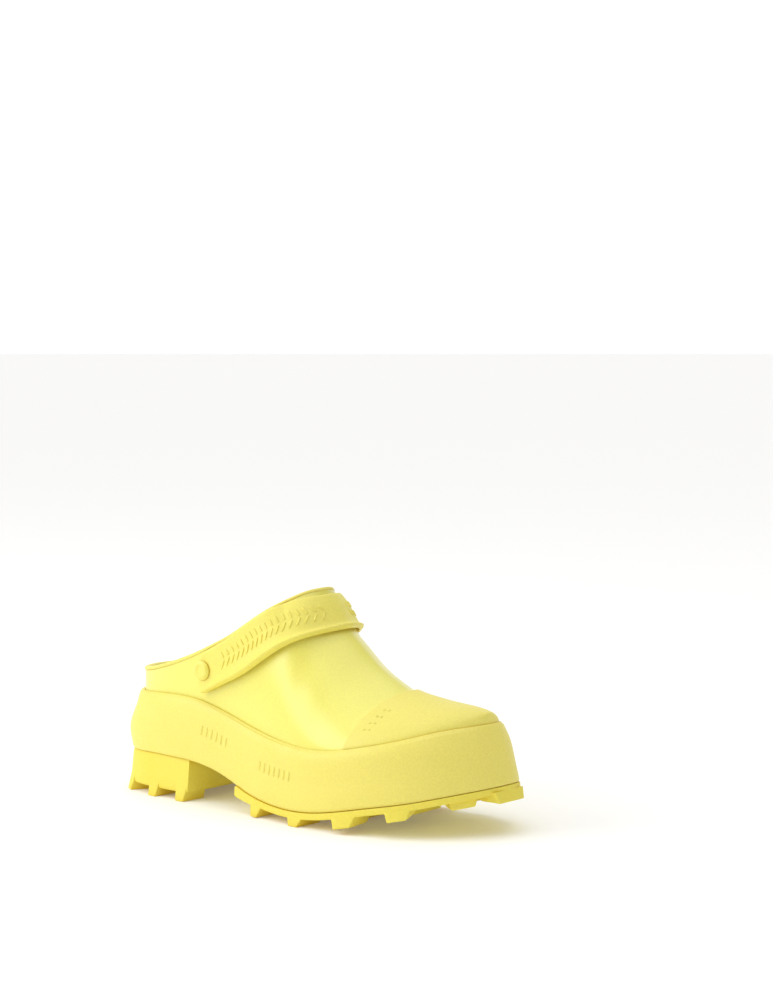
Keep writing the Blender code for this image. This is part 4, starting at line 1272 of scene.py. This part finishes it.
# ============================================================= floor and light
bm = bmesh.new()
R = 60.0
bmesh.ops.create_grid(bm, x_segments=8, y_segments=8, size=R)
me = bpy.data.meshes.new("floor")
bm.to_mesh(me)
bm.free()
floor = bpy.data.objects.new("floor", me)
bpy.context.scene.collection.objects.link(floor)
fm = bpy.data.materials.new("floor_white")
fm.use_nodes = True
fb = fm.node_tree.nodes["Principled BSDF"]
fb.inputs["Base Color"].default_value = (0.95, 0.95, 0.95, 1)
fb.inputs["Roughness"].default_value = 0.85
fb.inputs["Specular IOR Level"].default_value = 0.1
fb.inputs["Emission Color"].default_value = (1, 1, 1, 1)
fb.inputs["Emission Strength"].default_value = 0.10
me.materials.append(fm)

bpy.context.scene.view_settings.view_transform = "Standard"
world = bpy.data.worlds.new("studio")
bpy.context.scene.world = world
world.use_nodes = True
wn, wl = world.node_tree.nodes, world.node_tree.links
bg = wn["Background"]
# a room of soft light, brighter towards the white backdrop behind the shoe
tc = wn.new("ShaderNodeTexCoord")
dot = wn.new("ShaderNodeVectorMath")
dot.operation = "DOT_PRODUCT"
dot.inputs[1].default_value = (-0.632, 0.775, 0.0)
wl.new(tc.outputs["Generated"], dot.inputs[0])
ramp = wn.new("ShaderNodeMapRange")
ramp.interpolation_type = "SMOOTHSTEP"
ramp.inputs["From Min"].default_value = 0.35
ramp.inputs["From Max"].default_value = 0.90
ramp.inputs["To Min"].default_value = 0.42
ramp.inputs["To Max"].default_value = 1.02
wl.new(dot.outputs["Value"], ramp.inputs["Value"])
wl.new(ramp.outputs["Result"], bg.inputs["Strength"])
tint = wn.new("ShaderNodeMix")
tint.data_type = "RGBA"
tint.inputs[6].default_value = (1.0, 0.97, 0.90, 1)
tint.inputs[7].default_value = (1.0, 1.0, 1.0, 1)
wl.new(ramp.outputs["Result"], tint.inputs[0])
wl.new(tint.outputs[2], bg.inputs["Color"])


def lamp(name, kind, loc, aim, power, color=(1, 1, 1), size=None, angle=None):
    ld = bpy.data.lights.new(name, kind)
    if size:
        ld.shape = "RECTANGLE"
        ld.size, ld.size_y = size
    if angle:
        ld.angle = math.radians(angle)
    ld.energy = power
    ld.color = color
    ob = bpy.data.objects.new(name, ld)
    bpy.context.scene.collection.objects.link(ob)
    ob.location = loc
    d = mathutils.Vector(aim) - mathutils.Vector(loc)
    ob.rotation_euler = d.to_track_quat("-Z", "Y").to_euler()
    return ob


lamp("key_softbox", "AREA", (-1.05, -1.20, 0.95), (0.0, 0, 0.06), 16.5, size=(1.5, 1.2))
lamp("overhead", "SUN", (0.1, -0.2, 2), (0, 0, 0), 1.25, angle=70)

# ==================================================================== camera
cam_data = bpy.data.cameras.new("photo_view")
cam = bpy.data.objects.new("photo_view", cam_data)
bpy.context.scene.collection.objects.link(cam)
cam_data.sensor_width = 36.0
F_PX = 2331.95
cam_data.lens = F_PX * 36.0 / 1000.0
cam_data.clip_start, cam_data.clip_end = 0.05, 50
CAM = np.array([1121.6, -1117.7, 298.6])
AIM = np.array([-0.63022, 0.77339, -0.0685])
cam.location = ((CAM[0] - OFFSET[0]) * 0.001, (CAM[1] - OFFSET[1]) * 0.001, CAM[2] * 0.001)
cam.rotation_euler = mathutils.Vector(AIM).to_track_quat("-Z", "Y").to_euler()
bpy.context.scene.camera = cam
